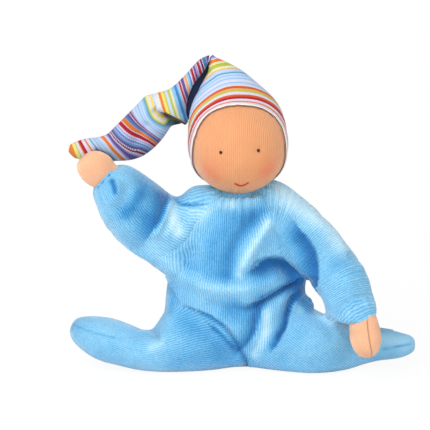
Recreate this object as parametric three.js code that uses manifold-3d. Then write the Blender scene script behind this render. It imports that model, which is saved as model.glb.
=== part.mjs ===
import * as THREE from "three";
import { mergeVertices } from "three/addons/utils/BufferGeometryUtils.js";
import Module from "manifold-3d";

const wasm = await Module();
wasm.setup();

// A sitting cloth doll in a velour romper and a striped stocking cap, in millimetres.
// +X is the doll's left, its face looks along -Y, and +Z is up from the seat it sits on.

// Cloth and clearances
const velour = 1.6;
const jersey = 1.1;
const seamGap = 0.3;
const jointGap = 1.1;
const tailGap = 0.5;
const overrun = 80;

// Romper body, from the seat to the neckline
const bodyHeight = 130.5;
const bodyHalfWidth = 56;
const bodyHalfDepth = 35;
const bodySetback = 8;
const sideSeamY = 9;
// How far the shoulders rise above the middle of the chest
const shoulderRise = 12;
// Height, half width, half depth, setback and rise, as shares of the five sizes above
const bodyShare = [
  [0.0, 0.7, 0.68, 1.0, 0.0],
  [0.035, 0.84, 0.84, 1.0, 0.0],
  [0.1, 0.95, 0.94, 0.9, 0.0],
  [0.21, 1.0, 1.0, 0.7, 0.0],
  [0.38, 0.98, 0.97, 0.5, 0.0],
  [0.57, 0.9, 0.89, 0.35, 0.1],
  [0.74, 0.81, 0.8, 0.25, 0.3],
  [0.86, 0.7, 0.66, 0.15, 0.8],
  [0.95, 0.54, 0.53, 0.05, 1.0],
  [1.0, 0.28, 0.42, 0.0, 0.0],
];
const collarThreadRadius = 0.9;

// Head, neck and face; turns and lifts are degrees seen from the head's centre
const headZ = 167;
const headRadius = 34.6;
const headHeightShare = 0.985;
const skinMouthTurnDegrees = 27;
const neckRadius = 9.5;
const neckBallRadius = 11;
const neckBallZ = 137;
const neckFootZ = 115;
const neckThreadRadius = 0.8;
const neckMouthRadius = 14;
const eyeRadius = 1.3;
const eyeTurnDegrees = [-20, 22];
const eyeLiftDegrees = [2, 4.5];
const mouthTurnDegrees = 4;
const mouthHalfTurnDegrees = 15;
const mouthLiftDegrees = -42;
const mouthEndLiftDegrees = -37;
const mouthRadius = 0.7;

// Cap: a hood round the head that runs up to a point and folds over into a long tail
const capThickness = 1.3;
const capNapeDrop = 25;
const capHeight = 66;
const capSlack = 0.8;
const hoodSetback = 4.5;
const hoodLiftDegrees = -24;
const hoodTurnDegrees = 4;
const hemRadius = 1.7;
// How far the point leans to the doll's right, growing with the cube of the height
const capLean = 19;
// How far back the hood's upper half sits, most at half its height
const capSetback = 7;
// Height as a share of capHeight; half width and half depth as shares of the cap's radius
const capShare = [
  [0.0, 1.0, 1.0],
  [0.2, 1.0, 0.9],
  [0.4, 0.94, 0.8],
  [0.5, 0.85, 0.67],
  [0.62, 0.7, 0.54],
  [0.8, 0.43, 0.36],
  [0.93, 0.2, 0.22],
  [1.0, 0.09, 0.15],
];
const tailPivotX = -49;
const tailPivotY = 7;
const tailPivotZ = 192;
const tailRootRadius = 10.3;
const foldReach = 49;
const foldHalfWidth = 12;
// Places on the fold's midline as shares of foldReach from the tail's pivot, then its half width
const foldShare = [
  [0.61, -0.14, 0.8, 0.4],
  [0.47, -0.12, 0.68, 0.42],
  [0.29, -0.1, 0.48, 0.52],
  [0.14, -0.06, 0.27, 0.77],
  [0.04, -0.02, 0.07, 0.97],
];
const foldSpreadShare = 1.3;
const tailReach = 88;
const tailHalfWidth = 16;
const tailDepthShare = 0.6;
// Places on the tail's midline as shares of tailReach from its pivot
const tailPathShare = [
  [-0.1, 0.025, -0.06],
  [-0.25, 0.07, -0.22],
  [-0.455, 0.12, -0.375],
  [-0.655, 0.14, -0.395],
  [-0.865, 0.15, -0.39],
];
// Length share and half width share
const tailShare = [
  [0.03, 0.62],
  [0.06, 0.6],
  [0.1, 0.88],
  [0.2, 1.0],
  [0.36, 0.98],
  [0.56, 0.78],
  [0.74, 0.58],
  [0.9, 0.42],
  [0.975, 0.25],
];

// Arms: the right one is raised to the cap's tail, the left one hangs over the leg
const shoulderX = 37;
const shoulderY = 2;
const shoulderZ = 101;
const shoulderRadius = 26;
const sleeveHalfWidth = 27;
const handHalfWidth = 13.2;
const handDepthShare = 0.95;
const sleeveDepthShare = 0.95;
const wristOverlap = 8;
const cuffThreadRadius = 0.8;
// How far each limb swings from rest, in degrees; raised and forward are positive
const rightArmSwingDegrees = [-70, 15];
const leftArmSwingDegrees = [0, 80];
const rightLegSwingDegrees = [-10, 45];
const leftLegSwingDegrees = [-10, 5];
const sweepStepDegrees = 40;
const rightArmReach = 98.6;
const rightArmPathShare = [
  [-0.16, -0.03, 0.045],
  [-0.36, -0.112, 0.195],
  [-0.56, -0.223, 0.41],
  [-0.73, -0.294, 0.61],
];
const rightCuffShare = 0.735;
const rightSleeveShare = [
  [0.02, 0.96],
  [0.12, 0.98],
  [0.28, 1.0],
  [0.45, 0.95],
  [0.6, 0.86],
  [0.69, 0.68],
  [0.735, 0.5],
];
const leftArmReach = 110.6;
const leftArmPathShare = [
  [0.172, -0.075, -0.1],
  [0.325, -0.19, -0.275],
  [0.425, -0.29, -0.44],
  [0.479, -0.355, -0.555],
  [0.524, -0.41, -0.77],
];
const leftCuffShare = 0.783;
const leftSleeveShare = [
  [0.02, 0.96],
  [0.12, 0.94],
  [0.28, 0.85],
  [0.45, 0.74],
  [0.6, 0.63],
  [0.72, 0.56],
  [0.783, 0.46],
];
// Share of the way from wrist to fingertips, and half width share
const handShare = [
  [0.0, 0.6],
  [0.18, 0.68],
  [0.4, 0.94],
  [0.62, 1.0],
  [0.82, 0.84],
  [0.95, 0.48],
];

// Legs: stuffed, splayed sideways and tapering to the toes
const hipX = 33;
const hipY = -6;
const hipZ = 24.5;
const hipRadius = 24;
const legHalfWidth = 24;
const legDepthShare = 1;
const leftLegReach = 98.6;
const leftLegPathShare = [
  [0.193, -0.071, -0.01],
  [0.365, -0.061, -0.035],
  [0.538, 0.0, -0.063],
  [0.72, 0.05, -0.078],
  [0.994, 0.091, -0.061],
];
const leftLegShare = [
  [0.02, 1.0],
  [0.2, 0.96],
  [0.36, 0.86],
  [0.53, 0.7],
  [0.71, 0.54],
  [0.87, 0.41],
  [0.965, 0.26],
];
const rightLegReach = 90.2;
const rightLegPathShare = [
  [-0.188, -0.078, -0.028],
  [-0.366, -0.067, -0.072],
  [-0.565, -0.011, -0.067],
  [-0.754, 0.033, -0.033],
  [-0.998, 0.067, 0.017],
];
const rightLegShare = [
  [0.02, 1.0],
  [0.18, 0.9],
  [0.36, 0.7],
  [0.56, 0.71],
  [0.76, 0.69],
  [0.92, 0.5],
  [0.98, 0.27],
];

// Counts of facets
const ringPoints = 12;
const roundPoints = 18;
const headSteps = 8;
const ballSteps = 3;
const capDropSteps = 2;
const capSteps = 6;
const mouthSteps = 4;
const mouthPoints = 5;
const tubeSteps = 6;
const threadPoints = 5;
const threadSteps = 20;
const knotPoints = 6;
const socketPoints = 14;
const flatteningShare = 0.25;
const handRingSteps = 6;

const velourBlue = new THREE.MeshStandardMaterial({ color: 0x6bb3e0, roughness: 0.9, metalness: 0 });
const skinTone = new THREE.MeshStandardMaterial({ color: 0xf2b58a, roughness: 0.85, metalness: 0 });
const woolWhite = new THREE.MeshStandardMaterial({ color: 0xe9e1d2, roughness: 1, metalness: 0 });
const stripedJersey = new THREE.MeshStandardMaterial({ color: 0xc77f8e, roughness: 0.85, metalness: 0 });
const threadBlue = new THREE.MeshStandardMaterial({ color: 0x3f7fae, roughness: 0.8, metalness: 0 });
const threadRed = new THREE.MeshStandardMaterial({ color: 0xc01818, roughness: 0.8, metalness: 0 });
const threadBrown = new THREE.MeshStandardMaterial({ color: 0x3a1508, roughness: 0.8, metalness: 0 });
const threadCream = new THREE.MeshStandardMaterial({ color: 0xe8d9be, roughness: 0.8, metalness: 0 });

const radians = THREE.MathUtils.degToRad;

// A form is a stack of rings of points, with a tip before the first and after the last.
function ring(centre, sideways, upward, points) {
  return Array.from({ length: points }, (_, k) => {
    const turn = (2 * Math.PI * k) / points;
    return centre
      .clone()
      .addScaledVector(sideways, Math.cos(turn))
      .addScaledVector(upward, Math.sin(turn));
  });
}

function middleOf(points) {
  const sum = points.reduce((total, p) => total.add(p), new THREE.Vector3());
  return sum.divideScalar(points.length);
}

function formOf(rings, startTip, endTip) {
  return {
    rings,
    startTip: startTip ?? middleOf(rings[0]),
    endTip: endTip ?? middleOf(rings[rings.length - 1]),
  };
}

// The form grown outwards by a distance, or shrunk where the distance is negative.
function grown(form, distance) {
  const { rings, startTip, endTip } = form;
  const last = rings.length - 1;
  const moved = rings.map((points, i) =>
    points.map((p, k) => {
      const around = points[(k + 1) % points.length].clone().sub(points.at(k - 1));
      const before = i > 0 ? rings[i - 1][k] : startTip;
      const after = i < last ? rings[i + 1][k] : endTip;
      const outward = around.cross(after.clone().sub(before)).normalize();
      return p.clone().addScaledVector(outward, distance);
    }),
  );
  const forward = endTip.clone().sub(middleOf(rings[last])).normalize();
  const backward = startTip.clone().sub(middleOf(rings[0])).normalize();
  return {
    rings: moved,
    startTip: startTip.clone().addScaledVector(backward, distance),
    endTip: endTip.clone().addScaledVector(forward, distance),
  };
}

// Triangles between the rings, seen from outside, and from inside where reversed.
function wall(corners, faces, rings, reversed) {
  const first = corners.length;
  const count = rings[0].length;
  rings.forEach((points) => corners.push(...points));
  for (let i = 0; i < rings.length - 1; i++)
    for (let k = 0; k < count; k++) {
      const a = first + i * count + k;
      const b = first + i * count + ((k + 1) % count);
      addFace(faces, a, b, a + count, reversed);
      addFace(faces, b, b + count, a + count, reversed);
    }
  return { first, last: first + (rings.length - 1) * count, count };
}

function addFace(faces, a, b, c, reversed) {
  faces.push(...(reversed ? [a, c, b] : [a, b, c]));
}

function fan(corners, faces, start, count, tip, reversed) {
  corners.push(tip);
  for (let k = 0; k < count; k++)
    addFace(faces, start + ((k + 1) % count), start + k, corners.length - 1, reversed);
}

function rim(faces, outer, inner, count, reversed) {
  for (let k = 0; k < count; k++) {
    const next = (k + 1) % count;
    addFace(faces, outer + k, inner + k, outer + next, reversed);
    addFace(faces, outer + next, inner + k, inner + next, reversed);
  }
}

function geometryOf(corners, faces) {
  const geometry = new THREE.BufferGeometry().setFromPoints(corners);
  geometry.setIndex(faces);
  return geometry;
}

function filled(form) {
  const corners = [];
  const faces = [];
  const side = wall(corners, faces, form.rings, false);
  fan(corners, faces, side.first, side.count, form.startTip, false);
  fan(corners, faces, side.last, side.count, form.endTip, true);
  return geometryOf(corners, faces);
}

// A cloth cover of the form: open at its start, its end or both.
function cover(form, thickness, openStart, openEnd) {
  const inner = grown(form, -thickness);
  const corners = [];
  const faces = [];
  const out = wall(corners, faces, form.rings, false);
  const into = wall(corners, faces, inner.rings, true);
  if (openStart) rim(faces, out.first, into.first, out.count, false);
  else {
    fan(corners, faces, out.first, out.count, form.startTip, false);
    fan(corners, faces, into.first, out.count, inner.startTip, true);
  }
  if (openEnd) rim(faces, out.last, into.last, out.count, true);
  else {
    fan(corners, faces, out.last, out.count, form.endTip, true);
    fan(corners, faces, into.last, out.count, inner.endTip, false);
  }
  return geometryOf(corners, faces);
}

// Closed geometry as a solid that can be cut and joined.
function solidOf(geometry) {
  const bare = geometry.clone();
  bare.deleteAttribute("normal");
  bare.deleteAttribute("uv");
  const merged = mergeVertices(bare);
  const vertProperties = new Float32Array(merged.attributes.position.array);
  const triVerts = new Uint32Array(merged.index.array);
  return new wasm.Manifold(new wasm.Mesh({ numProp: 3, vertProperties, triVerts }));
}

function ball(centre, radius, segments = socketPoints) {
  const sphere = new THREE.SphereGeometry(radius, segments, segments / 2);
  return solidOf(sphere.translate(centre.x, centre.y, centre.z));
}

// A box that reaches past the whole doll on the side of a plane that its normal points to.
function beyond(point, normal) {
  const size = 4 * overrun;
  const block = new THREE.BoxGeometry(size, size, size).translate(0, 0, size / 2);
  const turn = new THREE.Quaternion().setFromUnitVectors(new THREE.Vector3(0, 0, 1), normal);
  return solidOf(block.applyQuaternion(turn).translate(point.x, point.y, point.z));
}

function threadRing(centre, axis, ringRadius, threadRadius) {
  const torus = new THREE.TorusGeometry(ringRadius, threadRadius, threadPoints, threadSteps);
  const turn = new THREE.Quaternion().setFromUnitVectors(new THREE.Vector3(0, 0, 1), axis);
  return solidOf(torus.applyQuaternion(turn).translate(centre.x, centre.y, centre.z));
}

// Adds a solid to a body's group, whose place is the joint that it turns about.
function piece(group, name, solid, material) {
  const { vertProperties, triVerts } = solid.getMesh();
  const geometry = new THREE.BufferGeometry();
  geometry.setAttribute("position", new THREE.BufferAttribute(vertProperties, 3));
  geometry.setIndex(new THREE.BufferAttribute(triVerts, 1));
  const { x, y, z } = group.position;
  geometry.translate(-x, -y, -z).computeVertexNormals();
  const mesh = new THREE.Mesh(geometry, material);
  mesh.name = name;
  group.add(mesh);
}

function groupAt(point) {
  const group = new THREE.Group();
  group.position.copy(point);
  return group;
}

// Even steps along a table of shares, each scaled to its size.
function stepsAlong(table, sizes, steps) {
  const knots = table.map((row) => new THREE.Vector3(row[0], row[1], row[2] ?? 0));
  const spline = new THREE.CatmullRomCurve3(knots, false, "centripetal");
  return spline.getSpacedPoints(steps).map((p) => [p.x * sizes[0], p.y * sizes[1], p.z * sizes[2]]);
}

const up = new THREE.Vector3(0, 0, 1);
const front = new THREE.Vector3(0, -1, 0);

// Romper body
const bodyRings = bodyShare.map(([height, width, depth, setback, rise]) => {
  const level = ring(
    new THREE.Vector3(0, setback * bodySetback, height * bodyHeight),
    new THREE.Vector3(width * bodyHalfWidth, 0, 0),
    new THREE.Vector3(0, depth * bodyHalfDepth, 0),
    roundPoints,
  );
  level.forEach((p) => p.setZ(p.z + rise * shoulderRise * (p.x / (width * bodyHalfWidth)) ** 2));
  return level;
});
const bodyForm = formOf(bodyRings);
const shoulders = [-1, 1].map((side) => new THREE.Vector3(side * shoulderX, shoulderY, shoulderZ));
const hips = [-1, 1].map((side) => new THREE.Vector3(side * hipX, hipY, hipZ));
const sockets = [
  ...shoulders.map((centre) => ball(centre, shoulderRadius + jointGap)),
  ...hips.map((centre) => ball(centre, hipRadius + jointGap)),
].reduce((joined, socket) => joined.add(socket));

const torso = groupAt(new THREE.Vector3());
const bodyCover = solidOf(cover(bodyForm, velour, false, true)).subtract(sockets);
const seam = new THREE.Vector3(0, sideSeamY, 0);
const frontSide = beyond(seam.clone().addScaledVector(front, seamGap / 2), front);
const backSide = beyond(seam.clone().addScaledVector(front, -seamGap / 2), front.clone().negate());
piece(torso, "romper_front", bodyCover.intersect(frontSide), velourBlue);
piece(torso, "romper_back", bodyCover.intersect(backSide), velourBlue);
const neckHole = solidOf(
  new THREE.CylinderGeometry(neckRadius + jointGap, neckRadius + jointGap, overrun, roundPoints)
    .rotateX(Math.PI / 2)
    .translate(0, 0, neckFootZ - seamGap + overrun / 2),
);
const bodyStuffing = solidOf(filled(grown(bodyForm, -velour - seamGap)));
piece(torso, "body_stuffing", bodyStuffing.subtract(sockets).subtract(neckHole), woolWhite);
const collarRing = neckRadius + jointGap + collarThreadRadius;
const collarAt = new THREE.Vector3(0, 0, bodyHeight + seamGap + collarThreadRadius);
piece(torso, "collar_thread", threadRing(collarAt, up, collarRing, collarThreadRadius), threadBlue);

// Neck: a stuffed stub that turns in the body and carries the head on its ball
const neckBall = new THREE.Vector3(0, 0, neckBallZ);
const neckProfile = [new THREE.Vector2(0, neckFootZ), new THREE.Vector2(neckRadius, neckFootZ)];
const neckShoulder = Math.PI - Math.asin(neckRadius / neckBallRadius);
for (let step = 0; step < ballSteps; step++) {
  const turn = neckShoulder * (1 - step / ballSteps);
  const across = neckBallRadius * Math.sin(turn);
  neckProfile.push(new THREE.Vector2(across, neckBallZ + neckBallRadius * Math.cos(turn)));
}
neckProfile.push(new THREE.Vector2(0, neckBallZ + neckBallRadius));
const neck = groupAt(new THREE.Vector3(0, 0, bodyHeight));
const neckStub = new THREE.LatheGeometry(neckProfile, ringPoints).rotateX(Math.PI / 2);
piece(neck, "neck_stub", solidOf(neckStub), skinTone);
const tieAt = collarAt.clone().addScaledVector(up, collarThreadRadius + seamGap + neckThreadRadius);
const tieRing = neckBallRadius + seamGap + neckThreadRadius;
piece(neck, "neck_tie", threadRing(tieAt, up, tieRing, neckThreadRadius), threadCream);

// Head: a firm wool ball in a jersey skin, open underneath for the neck
const headCentre = new THREE.Vector3(0, 0, headZ);
const head = groupAt(neckBall);
const headHeight = headRadius * headHeightShare;
const headRings = Array.from({ length: headSteps }, (_, step) => {
  const turn = radians(skinMouthTurnDegrees) + ((Math.PI - radians(skinMouthTurnDegrees)) * step) / headSteps;
  const across = headRadius * Math.sin(turn);
  return ring(
    new THREE.Vector3(0, 0, headZ - headHeight * Math.cos(turn)),
    new THREE.Vector3(across, 0, 0),
    new THREE.Vector3(0, across, 0),
    roundPoints,
  );
});
const headTop = new THREE.Vector3(0, 0, headZ + headHeight);
const headForm = formOf(headRings, undefined, headTop);

// A point off the face, by its turn to the doll's left, its lift and its height over the skin
function onFace(turn, lift, height) {
  const spherical = new THREE.Vector3().setFromSphericalCoords(1, radians(90 - lift), 0);
  const [level, rise] = [spherical.z, spherical.y];
  return headCentre
    .clone()
    .add(
      new THREE.Vector3(
        level * Math.sin(radians(turn)) * (headRadius + height),
        -level * Math.cos(radians(turn)) * (headRadius + height),
        rise * (headHeight + height),
      ),
    );
}

function mouthTube(radius) {
  const turns = [-1, 1].map((side) => mouthTurnDegrees + side * mouthHalfTurnDegrees);
  const [start, end] = turns.map((turn) => onFace(turn, mouthEndLiftDegrees, 0));
  const path = new THREE.CatmullRomCurve3([start, onFace(mouthTurnDegrees, mouthLiftDegrees, 0), end]);
  const places = path.getSpacedPoints(mouthSteps);
  const rings = places.map((place, i) => {
    const along = path.getTangentAt(i / mouthSteps);
    const outward = place.clone().sub(headCentre).normalize();
    const sideways = outward.clone().cross(along).normalize();
    return ring(place, outward.multiplyScalar(radius), sideways.multiplyScalar(-radius), mouthPoints);
  });
  return solidOf(filled(formOf(rings)));
}

const eyeNames = ["eye_right", "eye_left"];
const eyePlaces = eyeTurnDegrees.map((turn, i) => onFace(turn, eyeLiftDegrees[i], 0));
const dents = eyePlaces
  .map((place) => ball(place, eyeRadius + seamGap, knotPoints))
  .reduce((joined, dent) => joined.add(dent), mouthTube(mouthRadius + seamGap));
eyeNames.forEach((name, i) => piece(head, name, ball(eyePlaces[i], eyeRadius, knotPoints), threadBrown));
piece(head, "mouth_stitch", mouthTube(mouthRadius), threadRed);
piece(head, "head_skin", solidOf(cover(headForm, jersey, true, false)).subtract(dents), skinTone);
const headCore = solidOf(filled(grown(headForm, -jersey - seamGap)));
const neckSocket = ball(neckBall, neckBallRadius + jointGap);
const neckMouth = new THREE.CylinderGeometry(neckBallRadius, neckMouthRadius, headRadius, roundPoints)
  .rotateX(Math.PI / 2)
  .translate(0, 0, neckBallZ - headRadius / 2);
piece(head, "head_wool", headCore.subtract(neckSocket).subtract(solidOf(neckMouth)), woolWhite);

// A direction seen from the head's centre, by its turn to the doll's left and its lift
function toward(turn, lift) {
  const level = Math.cos(radians(lift));
  return new THREE.Vector3(
    level * Math.sin(radians(turn)),
    -level * Math.cos(radians(turn)),
    Math.sin(radians(lift)),
  );
}

// The form with a copy of its first or last ring pushed outwards, so that it cuts right through.
function reaching(form, distance, atStart) {
  const { rings, startTip, endTip } = form;
  const [edge, before] = atStart ? [rings[0], rings[1]] : [rings.at(-1), rings.at(-2)];
  const away = middleOf(edge).sub(middleOf(before)).setLength(distance);
  const copy = edge.map((p) => p.clone().add(away));
  if (atStart) return formOf([copy, ...rings], undefined, endTip);
  return formOf([...rings, copy], startTip);
}

// Cap: the hood and its point, and the fold that brings the point down to the tail
const capRadius = headRadius + capSlack + capThickness;
const capRings = Array.from({ length: capDropSteps }, (_, step) => {
  const drop = capNapeDrop * (1 - step / capDropSteps);
  const across = Math.sqrt(capRadius ** 2 - drop ** 2);
  return [-drop, across, across];
})
  .concat(stepsAlong(capShare, [capHeight, capRadius, capRadius], capSteps))
  .map(([height, width, depth]) => {
    const share = Math.max(height / capHeight, 0);
    const setback = 4 * capSetback * share * (1 - share);
    return ring(
      new THREE.Vector3(-capLean * share ** 3, setback, headZ + height),
      new THREE.Vector3(width, 0, 0),
      new THREE.Vector3(0, depth, 0),
      roundPoints,
    );
  });
const capForm = formOf(capRings);
const tailPivot = new THREE.Vector3(tailPivotX, tailPivotY, tailPivotZ);

// Rings square to a midline, with their half widths along it; spread stretches them to one side.
function ringsAlong(midline, steps, reference, spread, points) {
  return steps.map(([along, halfWidth]) => {
    const forward = midline.getTangentAt(along);
    const sideways = reference.clone().cross(forward).normalize();
    const upward = forward.clone().cross(sideways);
    sideways.multiplyScalar(halfWidth);
    upward.multiplyScalar(halfWidth * spread(along));
    return ring(midline.getPointAt(along), sideways, upward, points);
  });
}

function placesFrom(start, reach, table) {
  return table.map(([x, y, z]) => new THREE.Vector3(x, y, z).multiplyScalar(reach).add(start));
}

const foldPlaces = placesFrom(tailPivot, foldReach, foldShare);
const foldMidline = new THREE.CatmullRomCurve3(foldPlaces, false, "centripetal");
const foldRings = ringsAlong(
  foldMidline,
  foldShare.map((row, i) => [i / (foldShare.length - 1), row[3] * foldHalfWidth]),
  front,
  () => foldSpreadShare,
  ringPoints,
);
const foldForm = formOf(foldRings);
const hoodNormal = toward(hoodTurnDegrees, hoodLiftDegrees);
const hoodEdge = headCentre.clone().addScaledVector(hoodNormal, hoodSetback);
const capInside = solidOf(filled(reaching(grown(capForm, -capThickness), capNapeDrop, true)));
const foldInside = solidOf(filled(reaching(grown(foldForm, -capThickness), tailRootRadius, false)));
const capCrown = solidOf(filled(capForm))
  .add(solidOf(filled(foldForm)))
  .subtract(capInside.add(foldInside))
  .subtract(ball(tailPivot, tailRootRadius + tailGap))
  .subtract(beyond(hoodEdge, hoodNormal));
piece(head, "cap_crown", capCrown, stripedJersey);
const hemOffset = hoodSetback + seamGap + hemRadius;
const hemDistance = headRadius + seamGap + hemRadius;
const hemRing = Math.sqrt(hemDistance ** 2 - hemOffset ** 2);
const hemCentre = headCentre.clone().addScaledVector(hoodNormal, hemOffset);
const hemFull = threadRing(hemCentre, hoodNormal, hemRing, hemRadius);
const nape = new THREE.Vector3(0, 0, headZ - capNapeDrop);
piece(head, "cap_hem", hemFull.subtract(beyond(nape, up.clone().negate())), stripedJersey);

// A limb or tail: a ball about its joint, then rings along a midline that starts there.
function limbForm(pivot, midline, rootRadius, profile, halfWidth, reference, depthShare) {
  const forward = midline.getTangentAt(0);
  const sideways = reference.clone().cross(forward).normalize();
  const upward = forward.clone().cross(sideways);
  const ballForm = Array.from({ length: ballSteps }, (_, step) => {
    const turn = (Math.PI / 2) * ((step + 1) / ballSteps);
    const across = rootRadius * Math.sin(turn);
    const centre = pivot.clone().addScaledVector(forward, -rootRadius * Math.cos(turn));
    return ring(
      centre,
      sideways.clone().multiplyScalar(across),
      upward.clone().multiplyScalar(across),
      ringPoints,
    );
  });
  const steps = stepsAlong(profile, [1, halfWidth], tubeSteps);
  const flatten = (along) => 1 - (1 - depthShare) * Math.min(along / flatteningShare, 1);
  const tube = ringsAlong(midline, steps, reference, flatten, ringPoints);
  const back = pivot.clone().addScaledVector(forward, -rootRadius);
  return { form: formOf([...ballForm, ...tube], back, midline.getPointAt(1)), steps };
}

function through(pivot, reach, pathShare) {
  const places = [pivot, ...placesFrom(pivot, reach, pathShare)];
  return new THREE.CatmullRomCurve3(places, false, "centripetal");
}

// The ends of a swing, the rest place, and steps between them
function turnsOver(swing) {
  const steps = swing.map((end) => Math.ceil(Math.abs(end) / sweepStepDegrees));
  return [0].concat(
    ...swing.map((end, i) => Array.from({ length: steps[i] }, (_, k) => (end * (k + 1)) / steps[i])),
  );
}

// What the body takes from a limb as the limb turns about its joint: the body grown by a seam,
// at each turn, without the ball that its socket holds.
function bodySweep(pivot, radius, axis, turns, depth) {
  const { x, y, z } = pivot;
  return turns
    .map((degrees) => {
      const turn = new THREE.Quaternion().setFromAxisAngle(axis, radians(degrees));
      const body = filled(grown(bodyForm, seamGap + depth)).translate(-x, -y, -z);
      return solidOf(body.applyQuaternion(turn).translate(x, y, z));
    })
    .reduce((joined, cut) => joined.add(cut))
    .subtract(ball(pivot, radius + seamGap));
}

// The cloth of a limb, open at its joint, and at its far end too where that takes a hand.
function limbCover(form, thickness, openEnd) {
  return solidOf(cover(formOf(form.rings.slice(1), undefined, form.endTip), thickness, true, openEnd));
}

// Cap tail: a long stuffed tube that swings behind the raised hand
const tail = groupAt(tailPivot);
const tailMidline = through(tailPivot, tailReach, tailPathShare);
const tailForm = limbForm(
  tailPivot,
  tailMidline,
  tailRootRadius,
  tailShare,
  tailHalfWidth,
  front,
  tailDepthShare,
).form;
piece(tail, "cap_tail", limbCover(tailForm, capThickness, false), stripedJersey);
piece(tail, "tail_wool", solidOf(filled(grown(tailForm, -capThickness - seamGap))), woolWhite);

// Arms: a velour sleeve over stuffing, and a jersey hand tied into its cuff
function arm(side, armData) {
  const { pivot, reach, pathShare, sleeveShare, cuffShare, swing } = armData;
  const group = groupAt(pivot);
  const midline = through(pivot, reach, pathShare);
  const length = midline.getLength();
  const sleeve = limbForm(
    pivot,
    midline,
    shoulderRadius,
    sleeveShare,
    sleeveHalfWidth,
    front,
    sleeveDepthShare,
  );
  const bodyCuts = bodySweep(pivot, shoulderRadius, front, turnsOver(swing), 0);
  const cuffForm = formOf(sleeve.form.rings, sleeve.form.startTip);
  const sleeveCover = limbCover(cuffForm, velour, true).subtract(bodyCuts);
  piece(group, "sleeve_" + side, sleeveCover, velourBlue);

  const wristAlong = cuffShare - wristOverlap / length;
  const handSteps = stepsAlong(handShare, [1 - wristAlong, handHalfWidth], handRingSteps);
  const handProfile = handSteps.map(([along, halfWidth]) => [wristAlong + along, halfWidth]);
  const handRings = ringsAlong(midline, handProfile, front, () => handDepthShare, ringPoints);
  const handForm = formOf(handRings, undefined, midline.getPointAt(1));
  piece(group, "hand_" + side, solidOf(cover(handForm, jersey, true, false)), skinTone);
  const handWool = solidOf(filled(grown(handForm, -jersey - seamGap)));
  piece(group, "hand_wool_" + side, handWool, woolWhite);

  const sleeveWool = grown(cuffForm, -velour - seamGap);
  const inSleeve = sleeve.steps.filter(([along]) => along < wristAlong - seamGap / length).length;
  const woolRings = sleeveWool.rings.slice(0, ballSteps + inSleeve);
  const armWool = solidOf(filled(formOf(woolRings, sleeveWool.startTip)));
  const deeperCuts = bodySweep(pivot, shoulderRadius - velour - seamGap, front, swing, velour);
  piece(group, "arm_wool_" + side, armWool.subtract(deeperCuts), woolWhite);

  const threadAlong = cuffShare + (seamGap + cuffThreadRadius) / length;
  const wider = handProfile.findIndex(([along]) => along > threadAlong);
  const [[from, narrowest], [to, widest]] = handProfile.slice(wider - 1, wider + 1);
  const handReach = THREE.MathUtils.mapLinear(threadAlong, from, to, narrowest, widest);
  const threadAt = midline.getPointAt(threadAlong);
  const threadTurn = midline.getTangentAt(threadAlong);
  const threadReach = handReach + seamGap + cuffThreadRadius;
  const cuffThread = threadRing(threadAt, threadTurn, threadReach, cuffThreadRadius);
  piece(group, "cuff_thread_" + side, cuffThread, threadBlue);
  return group;
}

const rightArm = arm("right", {
  pivot: shoulders[0],
  reach: rightArmReach,
  pathShare: rightArmPathShare,
  sleeveShare: rightSleeveShare,
  cuffShare: rightCuffShare,
  swing: rightArmSwingDegrees,
});
const leftArm = arm("left", {
  pivot: shoulders[1],
  reach: leftArmReach,
  pathShare: leftArmPathShare,
  sleeveShare: leftSleeveShare,
  cuffShare: leftCuffShare,
  swing: leftArmSwingDegrees.map((turn) => -turn),
});

// Legs: a velour cover closed at the toes, over stuffing
function leg(side, pivot, reach, pathShare, profile, swing) {
  const group = groupAt(pivot);
  const midline = through(pivot, reach, pathShare);
  const { form } = limbForm(pivot, midline, hipRadius, profile, legHalfWidth, up, legDepthShare);
  const bodyCuts = bodySweep(pivot, hipRadius, up, turnsOver(swing), 0);
  piece(group, "leg_" + side, limbCover(form, velour, false).subtract(bodyCuts), velourBlue);
  const wool = solidOf(filled(grown(form, -velour - seamGap)));
  const deeperCuts = bodySweep(pivot, hipRadius - velour - seamGap, up, swing, velour);
  piece(group, "leg_wool_" + side, wool.subtract(deeperCuts), woolWhite);
  return group;
}

const rightSwing = rightLegSwingDegrees.map((turn) => -turn);
const rightLeg = leg("right", hips[0], rightLegReach, rightLegPathShare, rightLegShare, rightSwing);
const leftLeg = leg("left", hips[1], leftLegReach, leftLegPathShare, leftLegShare, leftLegSwingDegrees);

const doll = new THREE.Group();
doll.add(torso, neck, head, tail, rightArm, leftArm, rightLeg, leftLeg);
export default doll;
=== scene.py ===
import math
import bmesh
import bpy
import numpy as np
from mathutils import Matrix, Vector


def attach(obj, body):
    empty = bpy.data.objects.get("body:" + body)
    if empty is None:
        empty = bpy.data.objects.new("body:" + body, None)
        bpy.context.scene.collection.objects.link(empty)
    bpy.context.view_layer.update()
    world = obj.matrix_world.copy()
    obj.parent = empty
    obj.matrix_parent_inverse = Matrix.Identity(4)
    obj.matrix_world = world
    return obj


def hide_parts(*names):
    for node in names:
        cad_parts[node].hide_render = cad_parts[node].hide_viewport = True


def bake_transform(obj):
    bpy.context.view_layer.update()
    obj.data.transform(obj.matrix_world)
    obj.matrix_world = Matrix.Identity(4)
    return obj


# A sitting cloth doll: velour romper, wool head and hands in jersey, striped stocking cap.
# Sizes are in millimetres and places on the photo are in its own pixels, until a mesh is made.

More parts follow.
